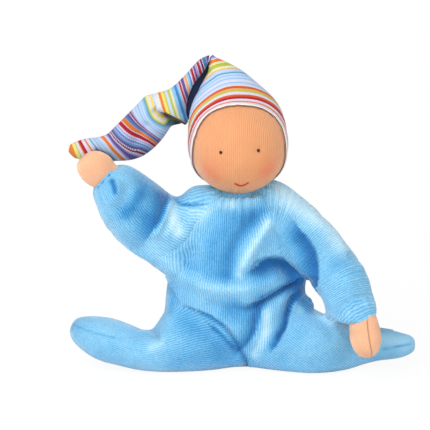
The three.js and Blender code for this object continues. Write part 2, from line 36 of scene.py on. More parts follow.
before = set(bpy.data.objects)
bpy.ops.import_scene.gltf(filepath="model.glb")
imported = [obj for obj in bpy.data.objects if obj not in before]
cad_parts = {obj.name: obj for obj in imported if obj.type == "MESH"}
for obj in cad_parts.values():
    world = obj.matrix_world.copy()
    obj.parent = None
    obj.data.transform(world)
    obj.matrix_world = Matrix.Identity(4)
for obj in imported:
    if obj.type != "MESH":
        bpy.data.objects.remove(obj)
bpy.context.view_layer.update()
print("frame loaded")

# Camera, set to the photo's viewing angle
photoView = {"aim": (-16.9, 0, 114.1), "away": 1200, "lift": 12, "lens": 136.7, "film": 36, "pixels": 430}
lift = math.radians(photoView["lift"])
ahead = np.array([0, math.cos(lift), -math.sin(lift)])
above = np.array([0, math.sin(lift), math.cos(lift)])
eye = np.array(photoView["aim"]) - ahead * photoView["away"]
focal = photoView["lens"] / photoView["film"] * photoView["pixels"]
middlePixel = photoView["pixels"] / 2
bpy.ops.object.camera_add(location=eye / 1000, rotation=(math.pi / 2 - lift, 0, 0))
camera = bpy.context.object
camera.name = "photoCamera"
camera.data.lens = photoView["lens"]
camera.data.sensor_width = photoView["film"]
camera.data.clip_start = 0.05
bpy.context.scene.camera = camera
bpy.context.scene.view_settings.view_transform = "Standard"


def atDepth(px, py, y):
    # the place, at depth y, that shows at a pixel of the photo
    ray = ahead + np.array([1, 0, 0]) * (px - middlePixel) / focal + above * (middlePixel - py) / focal
    return eye + ray * (y - eye[1]) / ray[1]


def seenAt(points):
    # the pixels of the photo at which places show
    away = points - eye
    depth = away @ ahead
    return np.stack([middlePixel + away[:, 0] * focal / depth, middlePixel - away @ above * focal / depth], 1)


def smoothRows(rows, steps):
    # a soft curve through the rows of a table, with some rows added between each two
    rows = np.array(rows, float)
    padded = np.vstack([2 * rows[0] - rows[1], rows, 2 * rows[-1] - rows[-2]])
    made = []
    for i in range(len(rows) - 1):
        a, b, c, d = padded[i:i + 4]
        for t in np.linspace(0, 1, steps, endpoint=False):
            made.append(0.5 * (2 * b + (c - a) * t + (2 * a - 5 * b + 4 * c - d) * t ** 2
                               + (3 * b - a - 3 * c + d) * t ** 3))
    made.append(rows[-1])
    return np.array(made)


def smoothStep(value, low, high):
    # 0 up to the low value, 1 from the high one, and a soft rise between them
    t = np.clip((value - low) / (high - low), 0, 1)
    return t * t * (3 - 2 * t)


def lengthGone(path):
    # how much of a path lies before each of its points
    return np.concatenate([[0], np.cumsum(np.linalg.norm(path[1:] - path[:-1], axis=1))])


def nearestLeg(points, path):
    # for each point: distance from the path, number of the leg that is nearest, and the share of it gone
    best = np.full(len(points), np.inf)
    which = np.zeros(len(points), dtype=int)
    part = np.zeros(len(points))
    legs = path[1:] - path[:-1]
    for i, (start, leg, length) in enumerate(zip(path[:-1], legs, np.linalg.norm(legs, axis=1))):
        away = points - start
        t = np.clip(away @ leg / length ** 2, 0, 1)
        off = np.linalg.norm(away - t[:, None] * leg, axis=1)
        nearer = off < best
        best = np.where(nearer, off, best)
        which = np.where(nearer, i, which)
        part = np.where(nearer, t, part)
    return best, which, part


def alongPath(spots, path):
    # for each spot on the photo: distance from the path, side of it, and the share of the path gone
    path = np.array(path, float)
    off, which, part = nearestLeg(spots, path)
    leg = (path[1:] - path[:-1])[which]
    away = spots - path[which]
    gone = lengthGone(path)
    share = (gone[which] + part * np.linalg.norm(leg, axis=1)) / gone[-1]
    return off, np.sign(leg[:, 0] * away[:, 1] - leg[:, 1] * away[:, 0]), share


def middlesOf(rows):
    # middle line of a form whose rows give two outline pixels and a depth
    return np.array([(atDepth(r[0], r[1], r[4]) + atDepth(r[2], r[3], r[4])) / 2 for r in rows])


def softTube(rows, around, startTip=None, endTip=None):
    # rings from rows of two outline pixels, depth and half thickness, closed at both ends
    turns = np.linspace(0, 2 * math.pi, around, endpoint=False)
    points = []
    for ax, ay, bx, by, y, thick in rows:
        one = atDepth(ax, ay, y)
        other = atDepth(bx, by, y)
        centre = (one + other) / 2
        half = (one - other) / 2
        look = centre - eye
        across = half / np.linalg.norm(half)
        deep = look - across * (look @ across)
        deep /= np.linalg.norm(deep)
        points.append(centre + np.outer(np.cos(turns), half) + np.outer(np.sin(turns), deep * thick))
    return closeRings(points, startTip, endTip)


def closeRings(rings, startTip=None, endTip=None):
    # rings joined into a tube, with each end closed at its tip or at the middle of its last ring
    around = len(rings[0])
    points = np.vstack(rings)
    faces = []
    for i in range(len(rings) - 1):
        for k in range(around):
            n = (k + 1) % around
            faces.append((i * around + k, i * around + n, (i + 1) * around + n, (i + 1) * around + k))
    for ring, tip in ((0, startTip), (len(rings) - 1, endTip)):
        middle = rings[ring].mean(axis=0) if tip is None else np.array(tip, float)
        points = np.vstack([points, middle])
        for k in range(around):
            pair = (ring * around + k, ring * around + (k + 1) % around)
            faces.append((*(pair[::-1] if ring == 0 else pair), len(points) - 1))
    return points, faces


def joinLoop(rings):
    # rings joined into a closed loop, such as a thread around a cuff
    count = len(rings)
    sides = len(rings[0])
    faces = []
    for i in range(count):
        for k in range(sides):
            here = i * sides
            there = (i + 1) % count * sides
            faces.append((here + k, here + (k + 1) % sides, there + (k + 1) % sides, there + k))
    return np.vstack(rings), faces


def makePiece(name, points, faces):
    mesh = bpy.data.meshes.new(name)
    mesh.from_pydata((np.asarray(points) / 1000).tolist(), [], faces)
    mesh.update()
    piece = bpy.data.objects.new(name, mesh)
    bpy.context.collection.objects.link(piece)
    for polygon in mesh.polygons:
        polygon.use_smooth = True
    return piece


def onlySelect(piece):
    bpy.ops.object.select_all(action="DESELECT")
    piece.select_set(True)
    bpy.context.view_layer.objects.active = piece


def outwards(piece):
    # turns the faces of a closed form outwards
    onlySelect(piece)
    bpy.ops.object.mode_set(mode="EDIT")
    bpy.ops.mesh.select_all(action="SELECT")
    bpy.ops.mesh.normals_make_consistent(inside=False)
    bpy.ops.object.mode_set(mode="OBJECT")


def closedPiece(name, form):
    piece = makePiece(name, *form)
    outwards(piece)
    return piece


def applied(piece, kind, **settings):
    # finishes a piece with a modifier
    modifier = piece.modifiers.new(kind.lower(), kind)
    for key, value in settings.items():
        setattr(modifier, key, value)
    onlySelect(piece)
    bpy.ops.object.modifier_apply(modifier=modifier.name)


def pointsOf(piece):
    flat = np.empty(len(piece.data.vertices) * 3)
    piece.data.vertices.foreach_get("co", flat)
    return flat.reshape(-1, 3) * 1000


def setPoints(piece, points):
    piece.data.vertices.foreach_set("co", (points / 1000).ravel())
    piece.data.update()


def normalsOf(piece):
    flat = np.empty(len(piece.data.vertices) * 3, dtype=np.float32)
    piece.data.vertex_normals.foreach_get("vector", flat)
    return flat.reshape(-1, 3).astype(float)


def eased(piece, rounds, amount=0.5):
    # evens a mesh out by moving each point towards the middle of its neighbours
    edges = np.empty(len(piece.data.edges) * 2, dtype=int)
    piece.data.edges.foreach_get("vertices", edges)
    a, b = edges.reshape(-1, 2).T
    points = pointsOf(piece)
    count = np.bincount(np.concatenate([a, b]), minlength=len(points))[:, None]
    for _ in range(rounds):
        total = np.stack([
            np.bincount(a, points[b, i], len(points)) + np.bincount(b, points[a, i], len(points))
            for i in range(3)
        ], 1)
        points = points + (total / count - points) * amount
    setPoints(piece, points)


def setValues(piece, name, values):
    # a value for each point, which the materials read
    attribute = piece.data.attributes.get(name) or piece.data.attributes.new(name, "FLOAT", "POINT")
    attribute.data.foreach_set("value", np.asarray(values, dtype=np.float32))


def pressFolds(piece, folds, allowed=None, fadeShare=0.16, facingSoft=0.3):
    # each fold is a path on the photo, then height and width on its two sides, seen from the camera,
    # and the parts of the romper that it may press
    points = pointsOf(piece)
    normals = normalsOf(piece)
    facing = smoothStep(-normals @ ahead, 0.0, facingSoft)
    spots = seenAt(points)
    move = np.zeros(len(points))
    for path, rightHeight, rightWidth, leftHeight, leftWidth, where in folds:
        off, side, share = alongPath(spots, smoothRows(path, 6))
        height = np.where(side > 0, rightHeight, leftHeight)
        width = np.where(side > 0, rightWidth, leftWidth)
        fade = smoothStep(share, 0, fadeShare) * smoothStep(1 - share, 0, fadeShare)
        part = height * np.exp(-(off / width) ** 2) * fade
        if allowed is not None and where is not None:
            part = part * np.isin(allowed, where)
        move += part
    setPoints(piece, points + normals * (move * facing)[:, None])


# Romper: one stuffed skin, cut into its sewn pieces later
torsoLevels = [
    # height, middle x, half width, middle y, half depth
    (0, 0, 38, 10, 21),
    (5, 0, 47, 9.5, 26.5),
    (13, 0, 53, 8, 31.5),
    (27, 0, 55, 6, 34.6),
    (42, -0.5, 54, 4.8, 34),
    (58, -1.6, 51.4, 3.8, 32.6),
    (75, -1.8, 49, 3, 30.2),
    (92, -1, 47, 2.2, 27.6),
    (106, 0, 43, 1.5, 25),
    (118, 0, 36, 1, 22),
    (128, 0, 27, 0.5, 19.5),
    (134.5, 0, 19.5, 0, 17.5),
]
# limbs: two outline pixels of the photo, depth and half thickness in millimetres
rightArmRows = [
    (205, 195, 190, 280, 2, 24),
    (186, 197, 167, 276, 0, 25),
    (175, 198, 150, 263, -2.5, 25),
    (166, 190, 134, 251, -5, 25),
    (156, 182, 119, 240, -9, 24.5),
    (146, 175, 108, 228, -12.5, 24),
    (136.5, 168, 99, 213, -16.5, 21.5),
    (124, 163.5, 93, 198, -20, 17.5),
    (113.3, 165.5, 92.8, 187.8, -22.3, 12),
]
leftArmRows = [
    (262, 178, 255, 262, 2, 24),
    (280, 181, 272, 258, 2, 25),
    (299, 194, 286, 262, 0.5, 25),
    (318, 211, 298, 272, -4, 23.5),
    (335, 230, 306, 279, -8.5, 22),
    (351, 249, 314, 290, -14.5, 21),
    (364, 268, 322, 300.5, -21, 19.5),
    (374, 293.5, 329.5, 315.5, -28.5, 17),
    (378, 308, 338, 322.5, -35, 14),
    (376, 320, 347.8, 324.5, -38, 10.8),
]
rightLegRows = [
    (215, 296, 232, 366, -4, 21),
    (198, 300, 217, 370, -5.5, 23),
    (180, 305, 200, 371, -8.5, 23.5),
    (161, 319, 175, 371.5, -12, 22),
    (154, 332, 150, 370.5, -12.5, 19.5),
    (140, 328, 130, 368, -10, 19),
    (124, 321, 112, 363.2, -7.5, 18.5),
    (108, 317, 96.6, 357, -5, 17.5),
    (92, 315.5, 84.8, 348.6, -3, 14.5),
    (79, 316, 75, 341, -1, 10),
    (74, 319.5, 71.5, 336, -0.5, 6.5),
]
leftLegRows = [
    (262, 296, 250, 366, -4, 21),
    (278, 298, 266, 369, -5.5, 23),
    (296, 302, 285, 371.5, -8.5, 23.5),
    (317, 313, 309, 373, -12.5, 23.5),
    (337, 319.5, 332, 372.5, -11.5, 20),
    (358, 323, 355, 367.5, -7.5, 16.5),
    (378, 326.5, 376, 361, -3, 14),
    (393, 329, 394, 358, -0.5, 12),
    (407, 331.5, 407, 354, 1.5, 10),
    (414, 335, 414, 350.5, 2.5, 6.5),
]
limbRows = {
    "rightArm": rightArmRows, "leftArm": leftArmRows, "rightLeg": rightLegRows, "leftLeg": leftLegRows,
}
limbLines = {limb: middlesOf(smoothRows(rows, 4)) for limb, rows in limbRows.items()}
romperForm = {
    "around": 32,  # points in each ring
    "roundness": 0.92,  # of the body's rings: 1 is an ellipse, less is boxier
    "toes": {"rightLeg": (70, 328, 0), "leftLeg": (418, 342, 3)},  # pixels of the photo, and depth
    "shoulders": ((-27, 2, 120.5, 17), (24, 2, 121, 20)),  # balls of filling: place and radius
    "ballEnd": 0.15,  # angle between a ball's pole and its first ring
    "coarseGrain": 4.5,  # grain of the mesh, before and after the cloth has settled
    "fineGrain": 1.25,
}
around = romperForm["around"]
turns = np.linspace(0, 2 * math.pi, around, endpoint=False)
roundTurns = [np.sign(t) * np.abs(t) ** romperForm["roundness"] for t in (np.cos(turns), np.sin(turns))]
forms = [closeRings([
    np.stack([x + w * roundTurns[0], y + d * roundTurns[1], np.full(around, z)], 1)
    for z, x, w, y, d in smoothRows(torsoLevels, 3)
])]
for limb, rows in limbRows.items():
    toe = romperForm["toes"].get(limb)
    forms.append(softTube(smoothRows(rows, 3), around, None, toe and atDepth(*toe)))
for x, y, z, radius in romperForm["shoulders"]:
    forms.append(closeRings([
        np.stack([
            x + radius * math.sin(p) * np.cos(turns),
            y + radius * math.sin(p) * np.sin(turns),
            np.full(around, z - radius * math.cos(p)),
        ], 1)
        for p in np.linspace(romperForm["ballEnd"], math.pi - romperForm["ballEnd"], 14)
    ]))
allPoints = []
allFaces = []
for points, faces in forms:
    shift = sum(len(p) for p in allPoints)
    allPoints.append(points)
    allFaces += [tuple(i + shift for i in face) for face in faces]
romper = closedPiece("romper", (np.vstack(allPoints), allFaces))


def alongLimb(points, line):
    # distance from the limb's middle line, how far along it that is, and the line's length
    off, which, part = nearestLeg(points, line)
    lengths = np.linalg.norm(line[1:] - line[:-1], axis=1)
    gone = lengthGone(line)
    return off, gone[which] + part * lengths[which], gone[-1]


def aroundLimb(points, line):
    # the angle around a limb's middle line, from its upper side
    off, which, part = nearestLeg(points, line)
    part = part[:, None]
    headings = np.gradient(line, axis=0)
    axis = headings[which] * (1 - part) + headings[which + 1] * part
    axis /= np.linalg.norm(axis, axis=1)[:, None]
    away = points - line[which] - part * (line[1:] - line[:-1])[which]
    up = np.array([0, 0, 1.0]) - axis * axis[:, 2:3]
    up /= np.linalg.norm(up, axis=1)[:, None]
    side = np.cross(axis, up)
    return np.arctan2((away * side).sum(axis=1), (away * up).sum(axis=1))


seams = {
    # photo path of each seam, and the sign of its outer side
    "rightRaglan": ([(216, 178), (213.8, 194), (204.8, 212), (194.5, 225), (188, 238), (176, 249), (166, 255),
                     (157, 268), (140, 300)], 1),
    "leftRaglan": ([(262, 178), (263.5, 193), (269.5, 201), (273, 225), (278, 245), (282, 257), (292, 268),
                    (304, 278), (312, 290)], -1),
    "rightHip": ([(40, 300), (130, 303), (156, 312), (171, 309), (180, 305), (188.3, 307.6), (203.6, 312.7),
                  (216.3, 320.3), (229, 330.5), (238, 343.3), (244.4, 357.3), (247, 385)], 1),
    "leftHip": ([(440, 296), (330, 301), (306, 300), (300.5, 299), (292.9, 307.6), (286.5, 317.8),
                 (281.4, 328), (275, 339), (263, 352), (253, 362), (247.5, 385)], -1),
}
sewing = {
    "hipHeight": 62,  # the raglan seams part the cloth above this height, the hip seams below it
    "armOverLeg": 55,  # from here outwards the left arm lies against the left leg
    "armSkin": 3,  # how far from the arm's own form its cloth may lie there
    "smallestPatch": 1500,  # faces: a smaller patch goes to the piece around it
    "innerShare": 0.93,  # size of a limb's form under its skin
    "innerFoot": 1,  # lowest place of that form
}


def seamSide(points, name):
    # distance from a seam as the photo shows it, more than nought on its outer side
    path, sign = seams[name]
    off, side, share = alongPath(seenAt(points), smoothRows(path, 6))
    return off * side * sign


def fromSkin(points, limb):
    # distance from the limb's own surface, outwards
    rows = smoothRows(limbRows[limb], 4)
    radii = [np.linalg.norm(atDepth(r[0], r[1], r[4]) - atDepth(r[2], r[3], r[4])) / 2 for r in rows]
    off, far, length = alongLimb(points, limbLines[limb])
    return off - np.interp(far, lengthGone(limbLines[limb]), radii)


def partOf(points):
    # 0 torso, 1 right sleeve, 2 left sleeve, 3 right leg, 4 left leg
    part = np.zeros(len(points), dtype=int)
    high = points[:, 2] > sewing["hipHeight"]
    part[high & (seamSide(points, "rightRaglan") > 0)] = 1
    part[high & (seamSide(points, "leftRaglan") > 0)] = 2
    part[~high & (seamSide(points, "rightHip") > 0)] = 3
    part[~high & (seamSide(points, "leftHip") > 0)] = 4
    fromArm = fromSkin(points, "leftArm")
    nearArm = (fromArm < fromSkin(points, "leftLeg")) & (fromArm < sewing["armSkin"])
    part[~high & (points[:, 0] > sewing["armOverLeg"]) & nearArm] = 2
    return part


def splitWhere(piece, field, inside=None, dropBelow=False):
    # splits the faces where a field over the points changes sign, so that pieces part on a clean line,
    # and drops the part below nought where that is asked
    mesh = bmesh.new()
    mesh.from_mesh(piece.data)
    mesh.verts.ensure_lookup_table()
    field = np.where(np.abs(field) < 1e-3, 1e-3, field)
    inside = np.ones(len(field), dtype=bool) if inside is None else inside
    cuts = []
    for edge in list(mesh.edges):
        a, b = edge.verts
        if field[a.index] * field[b.index] < 0 and inside[a.index] and inside[b.index]:
            t = field[a.index] / (field[a.index] - field[b.index])
            cuts.append((edge, a, min(max(t, 0.02), 0.98)))
    new = [bmesh.utils.edge_split(edge, a, t)[1] for edge, a, t in cuts]
    bmesh.ops.connect_verts(mesh, verts=new)
    if dropBelow:
        mesh.verts.index_update()
        mesh.verts.ensure_lookup_table()
        below = [v for v in mesh.verts if v.index < len(field) and field[v.index] < 0]
        bmesh.ops.delete(mesh, geom=below, context="VERTS")
    mesh.to_mesh(piece.data)
    mesh.free()


stuffing = {
    # the cloth settles over its filling under pressure, and is held where it is sewn
    "frames": 20,
    "furthest": 2.6,  # how far a point may move
    "seamHold": 4,  # width of the held stretch along a seam
    "collarHold": (118, 128),  # heights between which the hold begins
    "seatHold": (2, 7),
    "cuffHold": (14, 5),  # before the end of an arm
    "armReach": 22,
    "cloth": {"quality": 6, "mass": 0.2, "tension_stiffness": 12, "compression_stiffness": 12,
              "shear_stiffness": 4, "bending_stiffness": 0.3, "use_pressure": True,
              "uniform_pressure_force": 4, "shrink_min": -0.05, "vertex_group_mass": "held"},
}


def settled(piece, held):
    # a cloth simulation, whose moves are kept within the furthest one
    start = pointsOf(piece)
    group = piece.vertex_groups.new(name="held")
    for value in np.unique(held.round(1)):
        if value > 0:
            group.add(np.nonzero(held.round(1) == value)[0].tolist(), float(value), "REPLACE")
    cloth = piece.modifiers.new("cloth", "CLOTH")
    for key, value in stuffing["cloth"].items():
        setattr(cloth.settings, key, value)
    cloth.settings.effector_weights.gravity = 0
    cloth.point_cache.frame_start = 1
    cloth.point_cache.frame_end = stuffing["frames"]
    for step in range(stuffing["frames"]):
        bpy.context.scene.frame_set(step + 1)
    onlySelect(piece)
    bpy.ops.object.modifier_apply(modifier="cloth")
    bpy.context.scene.frame_set(1)
    piece.vertex_groups.clear()
    move = pointsOf(piece) - start
    far = np.linalg.norm(move, axis=1)
    move *= np.minimum(1, stuffing["furthest"] / np.maximum(far, 1e-9))[:, None]
    print("cloth settled, moved", far.mean().round(2), "mm on average,", far.max().round(2), "at most")
    setPoints(piece, start + move)


applied(romper, "REMESH", mode="VOXEL", voxel_size=romperForm["coarseGrain"] / 1000, adaptivity=0)
eased(romper, 3)
points = pointsOf(romper)
held = np.zeros(len(points))
for name in seams:
    held = np.maximum(held, np.exp(-(seamSide(points, name) / stuffing["seamHold"]) ** 2))
held = np.maximum(held, smoothStep(points[:, 2], *stuffing["collarHold"]))
seatLow, seatHigh = stuffing["seatHold"]
held = np.maximum(held, smoothStep(-points[:, 2], -seatHigh, -seatLow))
for limb in ("rightArm", "leftArm"):
    off, far, length = alongLimb(points, limbLines[limb])
    ending, sewn = stuffing["cuffHold"]
    onArm = off < stuffing["armReach"]
    held = np.maximum(held, onArm * smoothStep(far, length - ending, length - sewn))
settled(romper, held)
applied(romper, "SUBSURF", levels=1, render_levels=1)
applied(romper, "REMESH", mode="VOXEL", voxel_size=romperForm["fineGrain"] / 1000, adaptivity=0)
eased(romper, 10)
print("romper", len(romper.data.polygons), "faces")

part = partOf(pointsOf(romper))
torsoFolds = [
    # path on the photo, height and width on its right and on its left, and the parts that it may press
    # chest: long bright ridge and the hollow beside it
    ([(279, 203), (270, 220), (259, 237), (248.5, 254), (240, 275)], 4.8, 5.5, 4.8, 7, None),
    ([(264, 207), (251, 224), (239, 240), (232, 257), (230, 277)], -3.8, 8.5, -3.8, 6.5, None),
    ([(182, 262), (190, 255), (200, 248)], -2.2, 8, -2.2, 8, [0]),
    # hollow under the hanging arm and the fold over it
    ([(248, 274), (252, 265), (259, 260), (268.6, 257.5), (277.5, 257.5), (286.4, 260), (294, 267),
      (303, 277)], -7, 9, 2.2, 3, [0]),
    ([(260, 271), (268, 266), (278, 265), (289, 270)], -2.5, 6, -2.5, 5, [0]),
    # swag of cloth across the belly
    ([(160, 258), (180, 274), (200, 284), (218, 288), (235, 289), (250, 288), (262, 285), (275, 279),
      (288, 275)], 4.6, 7, 4.6, 8, [0]),
    # crease under the swag, deepest on the right
    ([(240, 309), (250, 305), (259.6, 301), (274, 292), (286.4, 284.8), (296, 281), (306, 276)],
     -7, 4.5, 1.5, 2.5, [0]),
    ([(204, 302), (218, 307), (232, 310), (246, 310), (258, 305)], -3.6, 7, -3.2, 5.5, [0]),
    # crotch
    ([(262, 296), (260.5, 309), (258, 325), (252.5, 341), (246, 353)], -5, 8, 1.4, 3.5, [0]),
    ([(271, 306), (269, 322), (266, 338), (261, 354)], 1.4, 8, 1.4, 8, [0, 4]),
    ([(302, 291), (294.5, 302), (289.5, 314), (286, 327), (281, 337.5), (276, 346)],
     -6.5, 6, 2.2, 3.5, [0, 4]),
    # hip fold over the right leg
    ([(176, 305), (188, 307), (203.6, 312.4), (215, 318.8), (225.7, 326.8), (234.6, 337.5), (241.8, 350),
      (247.5, 362), (252, 380)], -3.6, 4, 1.6, 3, [0, 3]),
    ([(200, 317), (215, 328.6), (222, 335), (232.9, 346.4), (238, 354)], -2.4, 1.6, 1.2, 2.4, [3]),
    # gathers under the chin
    ([(219, 192), (215.5, 200), (212, 210)], -1.4, 1.5, -1.4, 1.5, None),
    ([(224, 195), (223, 203), (221, 214)], -1.3, 1.6, -1.3, 1.6, None),
    ([(230, 197), (230, 204), (229, 212)], -0.9, 1.4, -0.9, 1.4, None),
    ([(252, 197), (254, 204), (255, 212)], -0.9, 1.4, -0.9, 1.4, None),
    ([(262, 192), (267, 201), (270, 213)], -1.6, 1.8, -1.6, 1.8, None),
    ([(269, 190), (273, 199), (276, 212)], -1.3, 1.8, -1.3, 1.8, None),
    # side of the body, where the back panel shows past the front one
    ([(164, 270), (171, 286), (177, 297), (183, 307)], -3.4, 4.5, 1.5, 4, [0]),
    ([(303, 297), (309, 304), (317, 310)], -1.6, 2.5, 1, 2.5, [0, 4]),
]
sleeveFolds = [
    # bunched cloth on top of the raised arm
    ([(173, 195), (168.5, 202), (165, 209), (162.5, 217), (156, 230), (150, 238)], -2.2, 6, 3.4, 5, [1]),
    ([(170, 199), (175, 200.5), (181, 205), (191, 207), (203, 205.5)], 2.6, 3.5, -3.4, 2.6, [0, 1]),
    ([(176, 214), (172, 226), (165, 238)], 1.6, 4, 1.6, 4, [1]),
    # raised sleeve: hollow above the elbow and a tuck at the cuff
    ([(128, 186), (124, 200), (119, 214)], -2.6, 5, -2.6, 5, [1]),
    ([(120, 176), (116, 192), (108, 206)], 1.8, 5, 1.8, 5, [1]),
    ([(112, 179), (114, 187), (116, 194)], -2.2, 2, -2.2, 2, [1]),
    # hanging sleeve: deep hollow with a sharp outer edge
    ([(301, 228), (307.5, 237), (313, 247), (316.5, 256), (317.8, 268), (318, 296)], -4.4, 11, 2, 3.5, [2]),
    ([(322, 262), (330, 282), (336, 300)], -1.2, 6, -1.2, 6, [2]),
    ([(340, 262), (348, 284), (352, 304)], 1, 5, 1, 5, [2]),
]
legFolds = [
    ([(150, 322), (155.4, 332), (160, 340), (164, 344)], -3.4, 2.6, -1.6, 3, [3]),
    ([(150, 347), (158, 345), (165, 338), (170, 328)], 1.6, 4, 1.6, 4, [3]),
    ([(66, 322), (72.6, 324.5), (83, 329), (93, 332.5), (102, 335), (114.5, 337.6), (130, 337.5),
      (144, 336.6), (160, 337)], -0.5, 1.6, -1.5, 2.6, [3]),
    ([(377, 351), (383, 349), (397, 346.5), (410.6, 344), (420, 343)], -0.7, 1.5, -0.7, 1.5, [4]),
    ([(322, 316), (330, 328), (336, 342)], -1.4, 5, -1.4, 5, [4]),
]
seamFolds = [
    (seams["rightRaglan"][0][1:-2], -0.9, 1.3, -0.9, 1.3, None),
    (seams["leftRaglan"][0][1:-2], -0.9, 1.3, -0.9, 1.3, None),
]
pressFolds(romper, torsoFolds + sleeveFolds + legFolds, part)
eased(romper, 2)
pressFolds(romper, seamFolds, part)

# sharp notches in the outline, where the cloth bends over itself
notches = [
    # pixel of the photo, depth, reach and move in millimetres
    (179.5, 198, 0, 4.5, (0, 0, -5)),
    (179.5, 198, -14, 4.5, (0, 0, -4)),
    (157.5, 331, -8, 4.5, (1.5, 0, -4)),
    (157.5, 331, -18, 4.5, (1.5, 0, -3)),
    (247.5, 368, -26, 4, (0, 0.5, 2.4)),
    (310, 281, 0, 5, (0, 0, 6)),
    (310, 281, -9, 5, (0, 0, 6)),
    (305, 303, -6, 6, (5.2, 0, 0)),
    (72, 322, -2, 2.5, (2, 0, 0)),
]
points = pointsOf(romper)
for px, py, y, reach, move in notches:
    near = np.exp(-(np.linalg.norm(points - atDepth(px, py, y), axis=1) / reach) ** 2)
    points += near[:, None] * np.array(move)
setPoints(romper, points)

# collar: a low gathered edge in front, and behind it a band that climbs to the chin
collar = {
    "band": 12.4, "foot": 15, "edgeStart": 15.5, "edge": 18.5,  # reach from the neck's middle
    "bandHeight": 134.5, "footHeight": 129.8, "edgeHeight": 130.2,
    "squash": 1.08,  # how much wider than deep the collar is
    "front": (0.4, 0.78),  # from the side round to the front, where the edge goes down
    "above": (118, 124), "within": 26, "soft": 4,  # heights and reach in which the front's edge goes down
    "gathers": 22, "gatherHeight": 1.05, "gatherAt": 18, "gatherWidth": 8, "gatherAbove": (104, 118),
}
points = pointsOf(romper)
reach = np.maximum(np.hypot(points[:, 0], points[:, 1] * collar["squash"]), 1e-6)
toFoot = smoothStep(reach, collar["band"], collar["foot"])
toEdge = smoothStep(reach, collar["edgeStart"], collar["edge"])
target = (collar["bandHeight"] + (collar["footHeight"] - collar["bandHeight"]) * toFoot
          + (collar["edgeHeight"] - collar["footHeight"]) * toEdge)
scoop = (smoothStep(-points[:, 1] / reach, *collar["front"]) * smoothStep(points[:, 2], *collar["above"])
         * smoothStep(collar["within"] - reach, 0, collar["soft"]))
points[:, 2] += scoop * np.minimum(target - points[:, 2], 0)
angle = np.arctan2(points[:, 1], points[:, 0])
gather = (np.exp(-((reach - collar["gatherAt"]) / collar["gatherWidth"]) ** 2)
          * smoothStep(points[:, 2], *collar["gatherAbove"]))
gather *= np.cos(collar["gathers"] * angle + 2 * np.sin(3 * angle)) * collar["gatherHeight"]
points += normalsOf(romper) * gather[:, None]
points[:, 2] = np.maximum(points[:, 2], 0.0)
setPoints(romper, points)

# gathered cuffs: where the gathers start and are full before the end of the arm, and their waves
cuff = {"start": 16, "full": 3, "pleats": ((0.6, 11, 0), (0.35, 17, 1.3))}  # height, count and turn
for kind, limb in ((1, "rightArm"), (2, "leftArm")):
    points = pointsOf(romper)
    off, far, length = alongLimb(points, limbLines[limb])
    turn = aroundLimb(points, limbLines[limb])
    near = (partOf(points) == kind) * smoothStep(far, length - cuff["start"], length - cuff["full"])
    pleats = sum(height * np.cos(count * turn + shift) for height, count, shift in cuff["pleats"])
    setPoints(romper, points + normalsOf(romper) * (near * pleats)[:, None])

for name in seams:
    points = pointsOf(romper)
    high = points[:, 2] > sewing["hipHeight"]
    splitWhere(romper, seamSide(points, name), inside=high if name.endswith("Raglan") else ~high)
print("romper folds and seams made")

